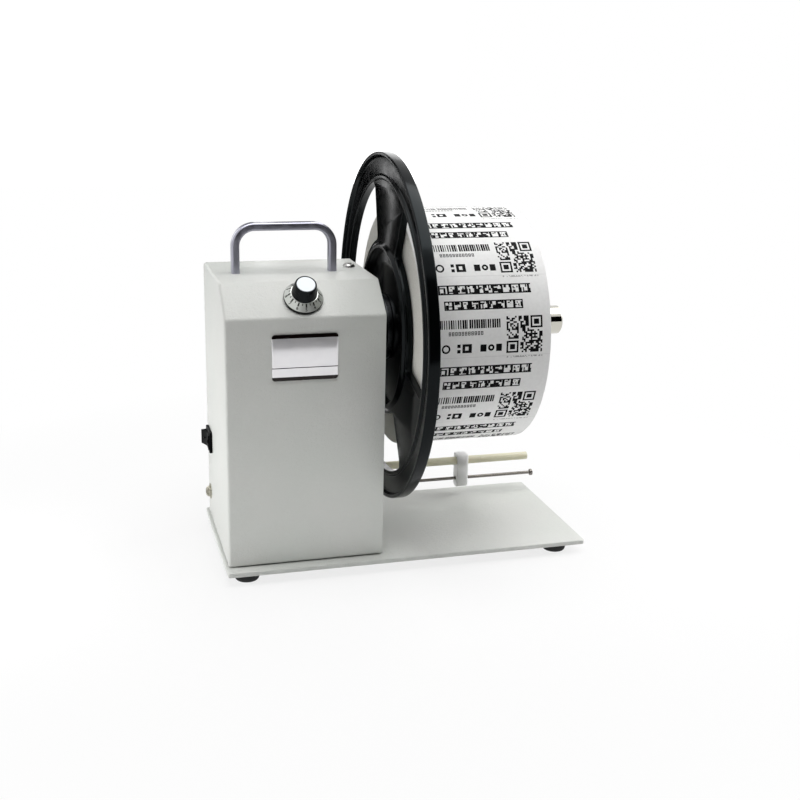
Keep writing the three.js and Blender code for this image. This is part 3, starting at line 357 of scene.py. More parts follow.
def grain(spot, size, detail=2.0):
    """Noise whose lumps are about size millimetres across, from 0 to 1."""
    inputs = {"Vector": spot, "Scale": 1.0 / size, "Detail": detail}
    return work_out(spot.tree, "TexNoise", None, inputs, "Fac")


def between(value, low, high, out_low=0.0, out_high=1.0):
    """Maps one range onto another."""
    names = ("Value", "From Min", "From Max", "To Min", "To Max")
    inputs = dict(zip(names, (value, low, high, out_low, out_high)))
    return work_out(value.tree, "MapRange", None, inputs, "Result")


def tint(factor, first, second):
    """A colour between two others, each a hex colour or a value."""
    ends = [linear(end) if isinstance(end, str) else end for end in (first, second)]
    inputs = {0: factor, 6: ends[0], 7: ends[1]}
    return work_out(factor.tree, "Mix", {"data_type": "RGBA"}, inputs, 2)


def emboss(shader, height, depth, strength):
    """Bump from a height whose full range stands for a depth in millimetres."""
    inputs = {"Height": height, "Distance": depth * MILLIMETRE, "Strength": strength}
    feed(shader, "Normal", work_out(height.tree, "Bump", None, inputs, "Normal"))


def grained(
    name, colour, roughness, metallic, size, detail, stretch=(1, 1, 1), shades=None, shade_range=(0.3, 0.7),
    sheen=None, sheen_range=(0.3, 0.7), depth=0.0, strength=0.5, **sockets,
):
    """A material whose shade, roughness and bump follow one noise, each where it is given."""
    material, tree, shader = start_material(name, colour, roughness, metallic, **sockets)
    noise = grain(object_place(tree, stretch), size, detail)
    if shades:
        feed(shader, "Base Color", tint(between(noise, *shade_range), *shades))
    if sheen:
        feed(shader, "Roughness", between(noise, *sheen_range, *sheen))
    if depth:
        emboss(shader, noise, depth, strength)
    return material


def powder_coat():
    """Light grey powder coat on steel: sprayed and baked, so it has a fine orange peel.

    The peel's lumps are a little coarser than real ones, so that they show.
    """
    material, tree, shader = start_material("powder_coat", "#D8DAD5", 0.42, IOR=1.5)
    spot = object_place(tree)
    peel, speck, cloud = grain(spot, 2.2), grain(spot, 0.6, 3.0), grain(spot, 60.0)
    feed(shader, "Base Color", tint(between(cloud, 0.3, 0.7), "#D5D8D3", "#DADBD7"))
    feed(shader, "Roughness", between(speck, 0.3, 0.7, 0.36, 0.5))
    emboss(shader, peel + speck, 0.36, 0.8)
    return material


def moulded_gloss_black():
    """Glossy black ABS from a polished mould: deep black with clear, slightly wavy reflections."""
    material, tree, shader = start_material(
        "moulded_gloss_black", "#050607", 0.16, Specular_IOR_Level=0.13,
        Specular_Tint=(0.84, 0.96, 1.0, 1.0),
    )
    spot = object_place(tree)
    feed(shader, "Roughness", between(grain(spot, 5.0, 4.0), 0.3, 0.7, 0.12, 0.2))
    emboss(shader, grain(spot, 28.0, 1.0), 0.05, 0.4)
    return material


def brushed_metal(name, colour, roughness, stretch, size=0.35, depth=0.004):
    """Metal rubbed along one direction: scratches are long that way and fine across."""
    sheen = (roughness * 0.8, roughness * 1.2)
    return grained(name, colour, roughness, 1.0, size, 3.0, stretch, sheen=sheen, depth=depth)


def plated_steel(name, bright, stained):
    """Plated screws and plain parts: silvery or yellowish with a faint cloudy stain."""
    return grained(
        name, bright, 0.3, 1.0, 2.5, 3.0, shades=(bright, stained), shade_range=(0.35, 0.7),
        sheen=(0.22, 0.42),
    )


def stretch_mask(value, low, high):
    """1 where a value lies between two others, else 0."""
    return value.maths("COMPARE", (low + high) / 2, (high - low) / 2)


def area_mask(u, v, area):
    """1 inside a rectangle (u low, u high, v low, v high), else 0."""
    return stretch_mask(u, *area[:2]) * stretch_mask(v, *area[2:])


def cell_noise(u, v, cell_u, cell_v, seed):
    """One random number from 0 to 1 for each cell of a grid."""
    cell = {0: (u / cell_u).maths("FLOOR"), 1: (v / cell_v).maths("FLOOR"), 2: seed}
    joined = {"Vector": work_out(u.tree, "CombineXYZ", None, cell)}
    return work_out(u.tree, "TexWhiteNoise", {"noise_dimensions": "3D"}, joined, "Value")


def name_plate_print(low, high):
    """Screen print on a thin anodised plate: a pale field, two dark bands and a thin rule.

    The bands and the rule are stretches of the height, read from Object coordinates.
    """
    material, tree, shader = start_material("name_plate_print", "#F6F5F8", 0.16, 0.5)
    place_now = object_place(tree)
    height = work_out(tree, "SeparateXYZ", None, {0: place_now}, "Z") - (low + ORIGIN[2])
    tall, band, rule, rule_half = high - low, 2.45, 8.2, 0.27
    stripes = [
        stretch_mask(height, middle - half, middle + half)
        for middle, half in ((0.0, band), (tall, band), (rule, rule_half))
    ]
    faint = grain(place_now, 6.0)
    field = tint(between(faint, 0.3, 0.7), "#F5F4F7", "#F9F8FA")
    feed(shader, "Base Color", tint(most(*stripes), field, "#160D0C"))
    feed(shader, "Roughness", between(faint, 0.3, 0.7, 0.14, 0.18))
    return material


# The label print, in millimetres along the roll and round it from the start of each label

LABEL_PITCH, ROLL_LEFT = 51.4, 117.8
BAND_ONE = (6.0, 72.5, 5.9, 12.1)
BAND_TWO = (14.4, 66.2, 16.1, 21.9)
SMALL_PRINT = (55.0, 79.0, 0.45, 1.4)
BAR_CODE, BAR_PITCH = (8.6, 50.5, 27.9, 33.4), 1.5
DIGITS, DIGIT_PITCH = (16.2, 39.2, 35.2, 37.6), 2.1
SQUARES = [
    (22.0, 24.2, 43.0, 45.2), (22.0, 24.2, 46.4, 48.6), (25.4, 31.6, 43.0, 44.6),
    (25.4, 31.6, 47.0, 48.6), (25.4, 27.2, 43.0, 48.6), (29.4, 31.6, 44.6, 47.0),
    (37.2, 41.2, 43.6, 48.2), (47.6, 51.4, 43.6, 48.2),
]
RING_MARKS, RING_LEVEL = [(14.75, 1.7, 2.8), (44.4, 0.8, 2.1)], 45.8
MATRIX, MATRIX_CELLS, EYE_CELLS = (54.5, 78.6, 26.6, 49.8), 21, 7


def marked_band(u, v, area, pitch, margin, seed):
    """A dark band with a row of pale marks, each a random set of upright and level strokes."""
    tall, inset = area[3] - area[2], 0.13 * (area[3] - area[2])
    from_left, from_top = u - area[0], v - area[2]
    mark = (margin, pitch - margin, area[2] + inset, area[3] - inset)
    upright = cell_noise(from_left, from_top, 0.85, 0.43 * tall, seed) > 0.62
    level = cell_noise(from_left, from_top, 0.5 * pitch, inset, seed + 1.0) > 0.64
    return area_mask(u, v, area) - area_mask(from_left % pitch, v, mark) * most(upright, level)


def round_digits(u, v):
    """A row of equal figures with two eyes each."""
    left, right, top, bottom = DIGITS
    turn = (u - left) % DIGIT_PITCH
    figure = area_mask(turn, v, (0.25, 1.8, top, bottom))
    for eye in ((top + 0.45, top + 1.0), (bottom - 1.0, bottom - 0.45)):
        figure -= area_mask(turn, v, (0.7, 1.35, *eye))
    return figure * stretch_mask(u, left, right)


def ring_print(u, v, middle, inner, outer):
    """A ring by the distance from its middle."""
    spot = work_out(u.tree, "CombineXYZ", None, {0: u - middle, 1: v - RING_LEVEL})
    far = work_out(u.tree, "VectorMath", {"operation": "LENGTH"}, {0: spot}, "Value")
    return stretch_mask(far, inner, outer)


def matrix_code(u, v):
    """A square of random cells that holds no code, with two square eyes in its corners."""
    cell_u, cell_v = (MATRIX[1] - MATRIX[0]) / MATRIX_CELLS, (MATRIX[3] - MATRIX[2]) / MATRIX_CELLS
    in_u, in_v, far = u - MATRIX[0], v - MATRIX[2], MATRIX_CELLS - EYE_CELLS
    dots = (cell_noise(in_u, in_v, cell_u, cell_v, 5.0) > 0.43) * area_mask(u, v, MATRIX)
    for left, top in ((far, 0), (0, far)):
        squares = []
        for border in (-1, 0, 1, 2):
            cells = np.array([border, EYE_CELLS - border])
            square = [*(left + cells) * cell_u, *(top + cells) * cell_v]
            squares.append(area_mask(in_u, in_v, square))
        surround, black, hollow, pupil = squares
        dots = most(dots * (surround < 0.5), black - hollow + pupil)
    return dots


def label_paper():
    """Coated label stock under a generic print: bars, blocks, plain digits and a random matrix.

    The strip attribute gives the place on the strip: along the roll, round it, and 1 on the
    printed side but 0 on the roll's ends, where the wound edges show as fine rings.
    """
    material, tree, shader = start_material("label_paper", "#EAEAE9", 0.5, Specular_IOR_Level=0.06)
    strip = work_out(tree, "Attribute", {"attribute_name": "strip"}, output="Vector")
    parts = add_node(tree, "SeparateXYZ", None, {0: strip})
    u, run, printed = (Value(parts.outputs[name]) for name in "XYZ")
    v = run % LABEL_PITCH
    specks = cell_noise(u, v, 0.8, 1.0, 17.0) > 0.45
    bar_wide = between(cell_noise(u, u, BAR_PITCH, 1000.0, 11.0), 0, 1, 0.4, 1.3)
    ink = most(
        stretch_mask(v, 0.0, 0.35) * 0.14, marked_band(u, v, BAND_ONE, 5.9, 0.7, 3.0),
        marked_band(u, v, BAND_TWO, 5.75, 0.8, 7.0), area_mask(u, v, SMALL_PRINT) * specks * 0.55,
        area_mask(u, v, BAR_CODE) * (u % BAR_PITCH < bar_wide), round_digits(u, v),
        *[area_mask(u, v, area) for area in SQUARES], *[ring_print(u, v, *ring) for ring in RING_MARKS],
        matrix_code(u, v),
    ) * printed
    pulp = grain(object_place(tree), 2.0, 4.0)
    paper = tint(between(pulp, 0.3, 0.7), "#E7E7E6", "#EDEDEC")
    inputs = {"W": run, "Scale": 1.6, "Detail": 3.0}
    layers = work_out(tree, "TexNoise", {"noise_dimensions": "1D"}, inputs, "Fac")
    side = tint(between(layers, 0.35, 0.65), "#C9C7BE", "#EFEEE9")
    feed(shader, "Base Color", tint(ink, tint(printed, side, paper), "#050506"))
    feed(shader, "Roughness", between(pulp, 0.3, 0.7, 0.38, 0.55))
    return material


POWDER = powder_coat()
GLOSS_BLACK = moulded_gloss_black()
# Black thermoplastic from a fine-grained mould: a soft sheen with a slight grain
SATIN_BLACK = grained(
    "moulded_satin_black", "#07090A", 0.4, 0.0, 0.25, 2.0, sheen=(0.3, 0.46), depth=0.01, strength=0.6,
    Specular_IOR_Level=0.04,
)
# Moulded black rubber: nearly matt, with a dusty grain
RUBBER = grained(
    "foot_rubber", "#131414", 0.75, 0.0, 1.5, 4.0, shades=("#101111", "#1E1F1F"), shade_range=(0.4, 0.75),
    depth=0.03, IOR=1.5,
)
SATIN_NICKEL = brushed_metal("satin_nickel", "#8F9193", 0.3, (0.1, 1.0, 1.0))
HANDLE_STEEL = brushed_metal("handle_steel", "#A6A6B2", 0.35, (1.0, 1.0, 1.0), 5.0, 0.0005)
ALUMINIUM = brushed_metal("turned_aluminium", "#85888A", 0.34, (1.0, 1.0, 1.0), 0.6, 0.002)
# Steel coloured dark grey throughout, with the grain of rubbed metal
DARK_GREY_STEEL = brushed_metal("dark_grey_steel", "#46484A", 0.3, (0.2, 1.0, 1.0))
DIAL_METAL = brushed_metal("satin_dial_metal", "#C8CBC6", 0.4, (1.0, 1.0, 1.0), 0.6, 0.002)
ROD_STEEL = brushed_metal("drawn_rod_steel", "#85817C", 0.18, (0.1, 1.0, 1.0), 0.4, 0.001)
# Cut brass: warm yellow with fine tool marks
BRASS = brushed_metal("cut_brass", "#C6A15B", 0.28, (1.0, 0.4, 0.4))
# Chromed steel: a mirror with faint haze round it
CHROME = grained(
    "polished_chrome", "#C6C4BB", 0.06, 1.0, 0.8, 4.0, (1.0, 0.15, 0.15), sheen=(0.05, 0.09),
    sheen_range=(0.35, 0.7),
)
ZINC = plated_steel("zinc_plate", "#C6C6C4", "#8F8F8B")
NICKEL = plated_steel("dull_nickel", "#C9C6B8", "#7A776A")
# Extruded natural nylon tube: warm cream, waxy, with faint draw lines along it
CREAM = grained(
    "cream_nylon", "#E4E0C8", 0.42, 0.0, 0.5, 2.0, (0.06, 1.0, 1.0), ("#E8E4CE", "#DBD6B8"), depth=0.02,
    strength=0.4, IOR=1.53, Subsurface_Weight=0.15, Subsurface_Radius=(0.0015, 0.0012, 0.0008),
    Subsurface_Scale=1.0,
)
# Machined natural acetal: milky white, lets a little light in, with faint cutter marks
MILKY = grained(
    "milky_acetal", "#FEFEFD", 0.4, 0.0, 0.3, 2.0, (0.3, 1.0, 0.08), sheen=(0.32, 0.5), depth=0.01,
    IOR=1.48, Subsurface_Weight=1.0, Subsurface_Radius=(0.012, 0.012, 0.012), Subsurface_Scale=1.0,
)
# Wound brown card: matt and fibrous
CARD = grained(
    "core_card", "#A98A5E", 0.85, 0.0, 0.5, 4.0, (0.3, 1.0, 1.0), ("#B4966A", "#957748"), depth=0.06,
    strength=0.6, IOR=1.45,
)
# Glass-fibre board under green solder mask: smooth and slightly mottled
BOARD = grained("circuit_board", "#1D5A36", 0.35, 0.0, 1.2, 2.0, shades=("#1B5533", "#22663E"), IOR=1.5)
# Black stove enamel ink of the dial's ticks and numbers
DIAL_INK = grained("dial_ink", "#15160F", 0.45, 0.0, 0.3, 2.0, sheen=(0.4, 0.6), IOR=1.5)
PAPER = label_paper()

# Carried-over solids, by words in their names; a later word counts before an earlier one

CARRIED = {
    "side_plate": POWDER, "bearing": ZINC, "idler": ZINC, "motor_can": ZINC, "rod_bracket": ZINC,
    "pot": ZINC, "screw": ZINC, "gearbox_housing": SATIN_NICKEL, "gearbox_cover": SATIN_NICKEL,
    "output_gear": BRASS, "motor_pinion": BRASS, "motor_end_cap": SATIN_BLACK,
    "sensor_switch": SATIN_BLACK, "control_board": BOARD,
}
for name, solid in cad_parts.items():
    for word, material in CARRIED.items():
        if word in name and not name.startswith("cover_screw"):
            solid.data.materials.clear()
            solid.data.materials.append(material)

# Base plate and feet

LUG_LOW_Y, LUG_HIGH_Y = 84.2, 100.2
plate_low, plate_high = reach("base_plate")
plate_outline = box_outline(plate_low[0], plate_high[0], plate_low[1], plate_high[1], 2.0)
plate_parts = [
    flat_plate([plate_outline], -PLATE_THICKNESS, 0.0, "z", 0.45),
    soft_block((1.5, LUG_LOW_Y, -1.5), (3.5, LUG_HIGH_Y, plate_high[2]), 0.4),
]
make_piece("base_plate_sheet", plate_parts, POWDER, "machine", ["base_plate"])


def foot_surface(low, high):
    """A rubber foot: straight at the top, a quarter ellipse down to its flat bottom, recessed."""
    radius, flat, recess, recess_deep = (high[0] - low[0]) / 2, 0.82, 4.6, 2.9
    tall = high[2] - low[2]
    centre = ((low[0] + high[0]) / 2, (low[1] + high[1]) / 2, high[2])
    turn = np.linspace(0, np.pi / 2, 10)
    down = -tall * (0.6 + 0.4 * np.sin(turn))
    side = np.stack([down, radius * (flat + (1 - flat) * np.cos(turn))], -1)
    profile = [(0, 0), (0, radius - 0.3), (-0.3, radius), *side]
    profile += [(-tall, recess), (-tall + recess_deep, recess), (-tall + recess_deep, 0)]
    return lathe(profile, "z", centre, 48)


for corner in ("front_left", "front_right", "rear_left", "rear_right"):
    foot = f"foot_{corner}"
    make_piece(f"rubber_{foot}", [foot_surface(*reach(foot))], RUBBER, "machine", [foot])

# Case cover


def case_outline(shrink):
    """The cover's side view, drawn in by shrink, open at the bottom.

    It runs from the front's foot over the slope and the top to the back's foot.
    """
    cos, sin = math.cos(SLOPE_ANGLE), math.sin(SLOPE_ANGLE)
    front = FRONT_HEIGHT - shrink * (1 - sin) / cos
    top = SLOPE_DEPTH + shrink * (1 - cos) / sin
    corners = [
        (shrink, COVER_LIFT), (shrink, front), (top, CASE_HEIGHT - shrink),
        (CASE_DEPTH - shrink, CASE_HEIGHT - shrink), (CASE_DEPTH - shrink, COVER_LIFT),
    ]
    return rounded(corners, COVER_BEND - shrink + 0.4, 5, closed=False)


def cover_surface():
    """The folded sheet: the side view carried along X, drawn in on a quarter circle at the left."""
    turn = np.linspace(0, np.pi / 2, 7)
    stations = [(CASE_WIDTH, 0.0)]
    stations += [(SIDE_BEND * (1 - np.sin(a)), SIDE_BEND * (1 - np.cos(a))) for a in turn]
    rings = [np.insert(case_outline(shrink), 0, x, axis=1) for x, shrink in stations]
    faces = grid_faces(len(rings), len(rings[0]), capped=[len(rings) - 1])
    return np.concatenate(rings), faces


def apply_modifiers(piece):
    """Makes a piece's modifiers part of its mesh."""
    bpy.context.view_layer.update()
    graph = bpy.context.evaluated_depsgraph_get()
    final = bpy.data.meshes.new_from_object(piece.evaluated_get(graph))
    piece.modifiers.clear()
    piece.data = final


def cut_away(piece, surfaces):
    """Takes closed surfaces out of a piece and leaves its mesh final."""
    cutter = add_object("cutter", make_mesh("cutter", surfaces))
    hole = piece.modifiers.new("hole", "BOOLEAN")
    hole.operation, hole.solver, hole.object = "DIFFERENCE", "EXACT", cutter
    apply_modifiers(piece)
    bpy.data.objects.remove(cutter)


def tilt_to_slope(surface):
    """Moves a surface made round Z onto the slope, square to it, at the knob's place."""
    points, faces = surface
    cos, sin = math.cos(SLOPE_ANGLE), math.sin(SLOPE_ANGLE)
    turn = np.array([[1, 0, 0], [0, cos, -sin], [0, sin, cos]])
    return points @ turn.T + KNOB_SEAT, faces


def round_bar(axis, radius, start, end, centre=(0, 0, 0), sides=32):
    """A plain round bar along an axis; it also serves as a drill."""
    return lathe([(start, 0), (start, radius), (end, radius), (end, 0)], axis, centre, sides)


HANDLE_LEFT, HANDLE_SPAN, HANDLE_Y = 15.25, 64.0, 56.0
INLET_AT = (30, 0, 30)
DRILL_REACH = 4
cover = add_object("case_cover_sheet", make_mesh("case_cover_sheet", [cover_surface()]))
wall = cover.modifiers.new("wall", "SOLIDIFY")
wall.thickness, wall.offset, wall.use_even_offset = COVER_SHEET * MILLIMETRE, -1.0, True
apply_modifiers(cover)
top_low, top_high = CASE_HEIGHT - DRILL_REACH, CASE_HEIGHT + DRILL_REACH
handle_feet = [(x, HANDLE_Y, 0) for x in (HANDLE_LEFT, HANDLE_LEFT + HANDLE_SPAN)]
cutters = [
    tilt_to_slope(round_bar("z", 3.9, -DRILL_REACH, DRILL_REACH)),
    soft_block((-4, SWITCH_Y - 9.6, SWITCH_Z - 6.6), (4, SWITCH_Y + 9.6, SWITCH_Z + 6.6), 0.8),
    round_bar("y", 4.15, CASE_DEPTH - DRILL_REACH, CASE_DEPTH + DRILL_REACH, INLET_AT),
    round_bar("x", 2.15, -DRILL_REACH, DRILL_REACH, (0, LEFT_SCREW_Y, LEFT_SCREW_Z)),
    *[round_bar("z", 1.65, top_low, top_high, foot_at) for foot_at in handle_feet],
]
cut_away(cover, cutters)
dress(cover, POWDER, "machine", ["case_cover"])

# Screws


def pan_head(radius, tall, recess, rings=30, sides=72):
    """A rounded screw head with a cross recess, standing on z = 0.

    Height = tall times (1 - share of radius to the 3.5) to the 0.5, less the recess where a point
    lies within either arm of the cross.
    """
    share = np.linspace(0, 1, rings)[:, None] ** 0.8
    angle = np.linspace(0, 2 * np.pi, sides, endpoint=False)[None, :]
    x, y = radius * share * np.cos(angle), radius * share * np.sin(angle)
    height = tall * np.sqrt(np.clip(1 - share**3.5, 0, 1)) + 0 * angle
    near, far = np.minimum(abs(x), abs(y)), np.maximum(abs(x), abs(y))
    arm = np.clip((0.17 * radius - near) / 0.08, 0, 1) * np.clip((0.55 * radius - far) / 0.15, 0, 1)
    points = np.stack([x, y, height - recess * arm], -1).reshape(-1, 3)
    middle = np.zeros((sides, 3))
    return np.concatenate([points, middle]), grid_faces(rings + 1, sides, close_columns=True)


def aim(surface, direction, place_at):
    """Turns a surface made along +Z to a direction and moves it to a place."""
    points, faces = surface
    turn = np.array(Vector((0, 0, 1)).rotation_difference(Vector(direction)).to_matrix())
    return points @ turn.T + place_at, faces


def toothed_washer(inner, outer, thick, teeth):
    """A lock washer whose rim waves in and out with the angle."""

    def wave(along, radius, angle):
        return radius + np.where(radius > inner + 0.5, 0.32, 0.0) * np.sign(np.cos(teeth * angle))

    profile = [(0, inner), (0, outer), (thick, outer), (thick, inner)]
    return lathe(profile, "z", sides=teeth * 8, closed=True, flute=wave)


# Each screw's direction, the wall it stands on, its head's radius and height, its lift, its material
WASHER_THICK, SCREW_RECESS = 0.8, 1.5
SCREWS = {
    "cover_screw_top": ((0, 0, 1), CASE_HEIGHT, 4.1, 2.4, 0.1, ZINC),
    "cover_screw_rear": ((0, 1, 0), CASE_DEPTH, 4.1, 2.4, 0.1, ZINC),
    "cover_screw_left": ((-1, 0, 0), 0.0, 4.0, 2.75, WASHER_THICK + 0.05, NICKEL),
}
for name, (direction, wall_at, head, tall, lift, finish) in SCREWS.items():
    seat = np.where(np.abs(direction), wall_at, np.mean(reach(name), axis=0))
    parts = [pan_head(head, tall, SCREW_RECESS), round_bar("z", 1.95, -5.0, 0.2, sides=24)]
    parts = [(points + (0, 0, lift), faces) for points, faces in parts]
    if finish is NICKEL:
        parts.append(toothed_washer(2.2, 5.05, WASHER_THICK, 12))
    surfaces = [aim(part, direction, seat) for part in parts]
    make_piece(f"{name}_head", surfaces, finish, "machine", [name])

# Carry handle

HANDLE_TALL, HANDLE_BEND = 32.5, 12.5
HANDLE_HALF, HANDLE_HALF_DEEP, HANDLE_EDGE = 2.55, 3.65, 1.2


def handle_surface():
    """A flat bar with rounded edges carried along two straight legs, two bends and a grip."""
    rise = HANDLE_TALL - HANDLE_HALF
    corners = [(0, 0), (0, rise), (HANDLE_SPAN, rise), (HANDLE_SPAN, 0)]
    path = rounded(corners, [0, HANDLE_BEND, HANDLE_BEND, 0], 16, closed=False)
    along = np.gradient(path, axis=0)
    along /= np.linalg.norm(along, axis=1)[:, None]
    across = np.stack([-along[:, 1], along[:, 0]], -1)
    half, deep = HANDLE_HALF, HANDLE_HALF_DEEP
    section = box_outline(-half, half, -deep, deep, HANDLE_EDGE, 6)
    ring = path[:, None, :] + section[None, :, :1] * across[:, None, :]
    depth = np.broadcast_to(section[:, 1], ring.shape[:2])
    points = np.stack([ring[..., 0], depth, ring[..., 1]], -1) + (HANDLE_LEFT, HANDLE_Y, CASE_HEIGHT)
    faces = grid_faces(len(path), len(section), close_columns=True, capped=[0, len(path) - 1])
    return points.reshape(-1, 3), faces


handle = [handle_surface()]
make_piece("handle_bar", handle, HANDLE_STEEL, "machine", ["carry_handle"])

# Name plate

low, high = reach("name_plate")
rim = box_outline(low[2], high[2], low[0], high[0], 2.0)
PLATE_PRINT = name_plate_print(low[2], high[2])
face = [flat_plate([rim], -0.8, 0.0, "y", 0.2)]
make_piece("bare_name_plate", face, PLATE_PRINT, "machine", ["name_plate"])

# Speed knob: heights are above the slope

SKIRT_RADIUS, SKIRT_LOW, SKIRT_TOP, SKIRT_BORE = 12.4, 0.6, 6.1, 4.4
CONE_LOW, CONE_EDGE, CONE_HIGH_RADIUS = 1.8, 12.2, 8.55
KNOB_FOOT, KNOB_TALL, KNOB_RADIUS, KNOB_TOP_RADIUS, CAP_RADIUS = 6.25, 8.2, 8.2, 6.9, 5.95
KNOB_TOP = KNOB_FOOT + KNOB_TALL
KNOB_FLUTES, FLUTE_DEPTH = 48, 0.07


def knob_flutes(along, radius, angle):
    """Shallow flutes down the knob's side, fading out at its foot and top."""
    fade = np.clip(along - KNOB_FOOT - 0.5, 0, 1) * np.clip(KNOB_TOP - 1.2 - along, 0, 1)
    wave = FLUTE_DEPTH * fade * np.cos(KNOB_FLUTES * angle)
    return radius + np.where(radius > CAP_RADIUS + 0.3, wave, 0.0)


def make_turned(name, profile, material, node, slot, sides, **shape):
    """A piece of the knob, turned round the slope's normal."""
    surface = tilt_to_slope(lathe(profile, "z", sides=sides, **shape))
    make_piece(name, [surface], material, "knob", [node] if node else ())


share = np.linspace(0, 1, 12)
side_radius = KNOB_RADIUS - 0.05 + (KNOB_TOP_RADIUS - KNOB_RADIUS) * share
knob_side = np.stack([KNOB_FOOT + 0.2 + (KNOB_TALL - 0.8) * share, side_radius], -1)
knob_profile = [
    (KNOB_TOP - 3, 0), (KNOB_TOP - 3, 3.1), (KNOB_FOOT, 3.1), (KNOB_FOOT, KNOB_RADIUS - 0.3), *knob_side,
    (KNOB_TOP - 0.2, KNOB_TOP_RADIUS - 0.2), (KNOB_TOP, KNOB_TOP_RADIUS - 0.4),
    (KNOB_TOP, CAP_RADIUS + 0.1), (KNOB_TOP - 0.9, CAP_RADIUS + 0.1), (KNOB_TOP - 0.9, 0),
]
make_turned("knob_grip", knob_profile, GLOSS_BLACK, "knob_body", "black_plastic", 288, flute=knob_flutes)
cap_profile = [
    (KNOB_TOP - 0.8, 0), (KNOB_TOP - 0.8, CAP_RADIUS), (KNOB_TOP - 0.25, CAP_RADIUS),
    (KNOB_TOP, CAP_RADIUS - 0.25), (KNOB_TOP - 0.03, 0.85 * CAP_RADIUS), (KNOB_TOP - 0.06, 0),
]
make_turned("knob_cap_disc", cap_profile, ALUMINIUM, "knob_cap", "aluminium", 96)
rim_profile = [
    (SKIRT_LOW, SKIRT_BORE), (SKIRT_LOW, SKIRT_RADIUS - 0.25), (SKIRT_LOW + 0.25, SKIRT_RADIUS),
    (CONE_LOW - 0.15, SKIRT_RADIUS), (CONE_LOW, CONE_EDGE), (CONE_LOW, SKIRT_BORE),
]
make_turned("dial_rim", rim_profile, GLOSS_BLACK, None, "black_plastic", 128, closed=True)
cone_profile = [
    (CONE_LOW, SKIRT_BORE), (CONE_LOW, CONE_EDGE), (CONE_LOW + 0.15, CONE_EDGE),
    (SKIRT_TOP, CONE_HIGH_RADIUS), (SKIRT_TOP, SKIRT_BORE),
]
make_turned("dial_cone", cone_profile, DIAL_METAL, "dial_skirt", "aluminium", 128, closed=True)

DIAL_MARKS, DIAL_SWEEP, DIAL_START = 11, 300.0, 60.0
LONG_TICK, SHORT_TICK = (2.5, 0.5), (1.5, 0.28)
CONE_RUN, CONE_FALL = CONE_EDGE - CONE_HIGH_RADIUS, SKIRT_TOP - CONE_LOW - 0.15
CONE_SIDE = math.hypot(CONE_RUN, CONE_FALL)


def on_cone(down, tangent, height, mark):
    """Points near the dial's cone: a way down its side, one sideways and one above its face.

    The marks run clockwise from the dial's start.
    """
    angle = math.radians(DIAL_START - DIAL_SWEEP * mark / (DIAL_MARKS - 1))
    cos, sin = CONE_RUN / CONE_SIDE, CONE_FALL / CONE_SIDE
    radial = CONE_HIGH_RADIUS + down * cos + height * sin
    x = radial * np.cos(angle) - tangent * np.sin(angle)
    y = radial * np.sin(angle) + tangent * np.cos(angle)
    return np.stack([x, y, SKIRT_TOP - down * sin + height * cos], -1)


def dial_ticks():
    """A thin raised bar for each mark and a shorter one half way to the next."""
    surfaces = []
    faces = [[0, 1, 3, 2], [4, 6, 7, 5], [0, 4, 5, 1], [2, 3, 7, 6], [0, 2, 6, 4], [1, 5, 7, 3]]
    for k in range(2 * (DIAL_MARKS - 1) + 1):
        length, half = SHORT_TICK if k % 2 else LONG_TICK
        box = np.meshgrid([0.15, length], [-half, half], [-0.05, 0.035], indexing="ij")
        surfaces.append(tilt_to_slope((on_cone(*box, k / 2).reshape(-1, 3), faces)))
    return surfaces


def dial_figures():
    """The numbers 0 to 10, their tops towards the knob, laid on the cone."""
    surfaces = []
    for mark in range(DIAL_MARKS):
        curve = bpy.data.curves.new("figures", "FONT")
        curve.body, curve.size, curve.extrude, curve.offset = str(mark), 3.0, 0.04, 0.05
        curve.align_x = curve.align_y = "CENTER"
        curve.resolution_u = 3
        points, faces = curve_mesh(curve)
        laid = on_cone(3.9 - points[:, 1], points[:, 0], points[:, 2] + 0.01, mark)
        surfaces.append(tilt_to_slope((laid, faces)))
    return surfaces


make_piece("dial_marks", dial_ticks() + dial_figures(), DIAL_INK, "knob", ())

# Rocker switch

SWITCH_LONG, SWITCH_WIDE, SWITCH_PROUD = 21.0, 15.0, 2.0
ROCKER_TILT, ROCKER_HALF, ROCKER_RISE = math.radians(9), 8.65, 2.3


def switch_rectangle(border, corner):
    """The switch's outline in Y and Z, drawn in by a border; it lies on its side."""
    long, wide = SWITCH_LONG / 2 - border, SWITCH_WIDE / 2 - border
    return box_outline(SWITCH_Y - long, SWITCH_Y + long, SWITCH_Z - wide, SWITCH_Z + wide, corner)


switch_parts = [
    flat_plate([switch_rectangle(0, 1.4), switch_rectangle(1.7, 0.6)], -SWITCH_PROUD, 0, "x", 0.5, 4),
    flat_plate([switch_rectangle(1.0, 0.6), switch_rectangle(1.85, 0.4)], -0.8, 9.2, "x", 0.1, 1),
    flat_plate([switch_rectangle(1.0, 0.6)], 9.0, 14.0, "x", 0.2, 1),
]
for y in (SWITCH_Y - 5.7, SWITCH_Y, SWITCH_Y + 5.7):
    switch_parts.append(soft_block((13.5, y - 0.4, SWITCH_Z - 2.4), (20, y + 0.4, SWITCH_Z + 2.4), 0.15))
make_piece("switch_bezel", switch_parts, SATIN_BLACK, "machine", ["switch_body"])


def rocker_turn(surface):
    """A surface made in the rocker's own frame, tilted about its pivot and moved to the switch."""
    (x, y, z), faces = surface[0].T, surface[1]
    cos, sin = math.cos(ROCKER_TILT), math.sin(ROCKER_TILT)
    return np.stack([x * cos - y * sin, x * sin + y * cos + SWITCH_Y, z + SWITCH_Z], -1), faces


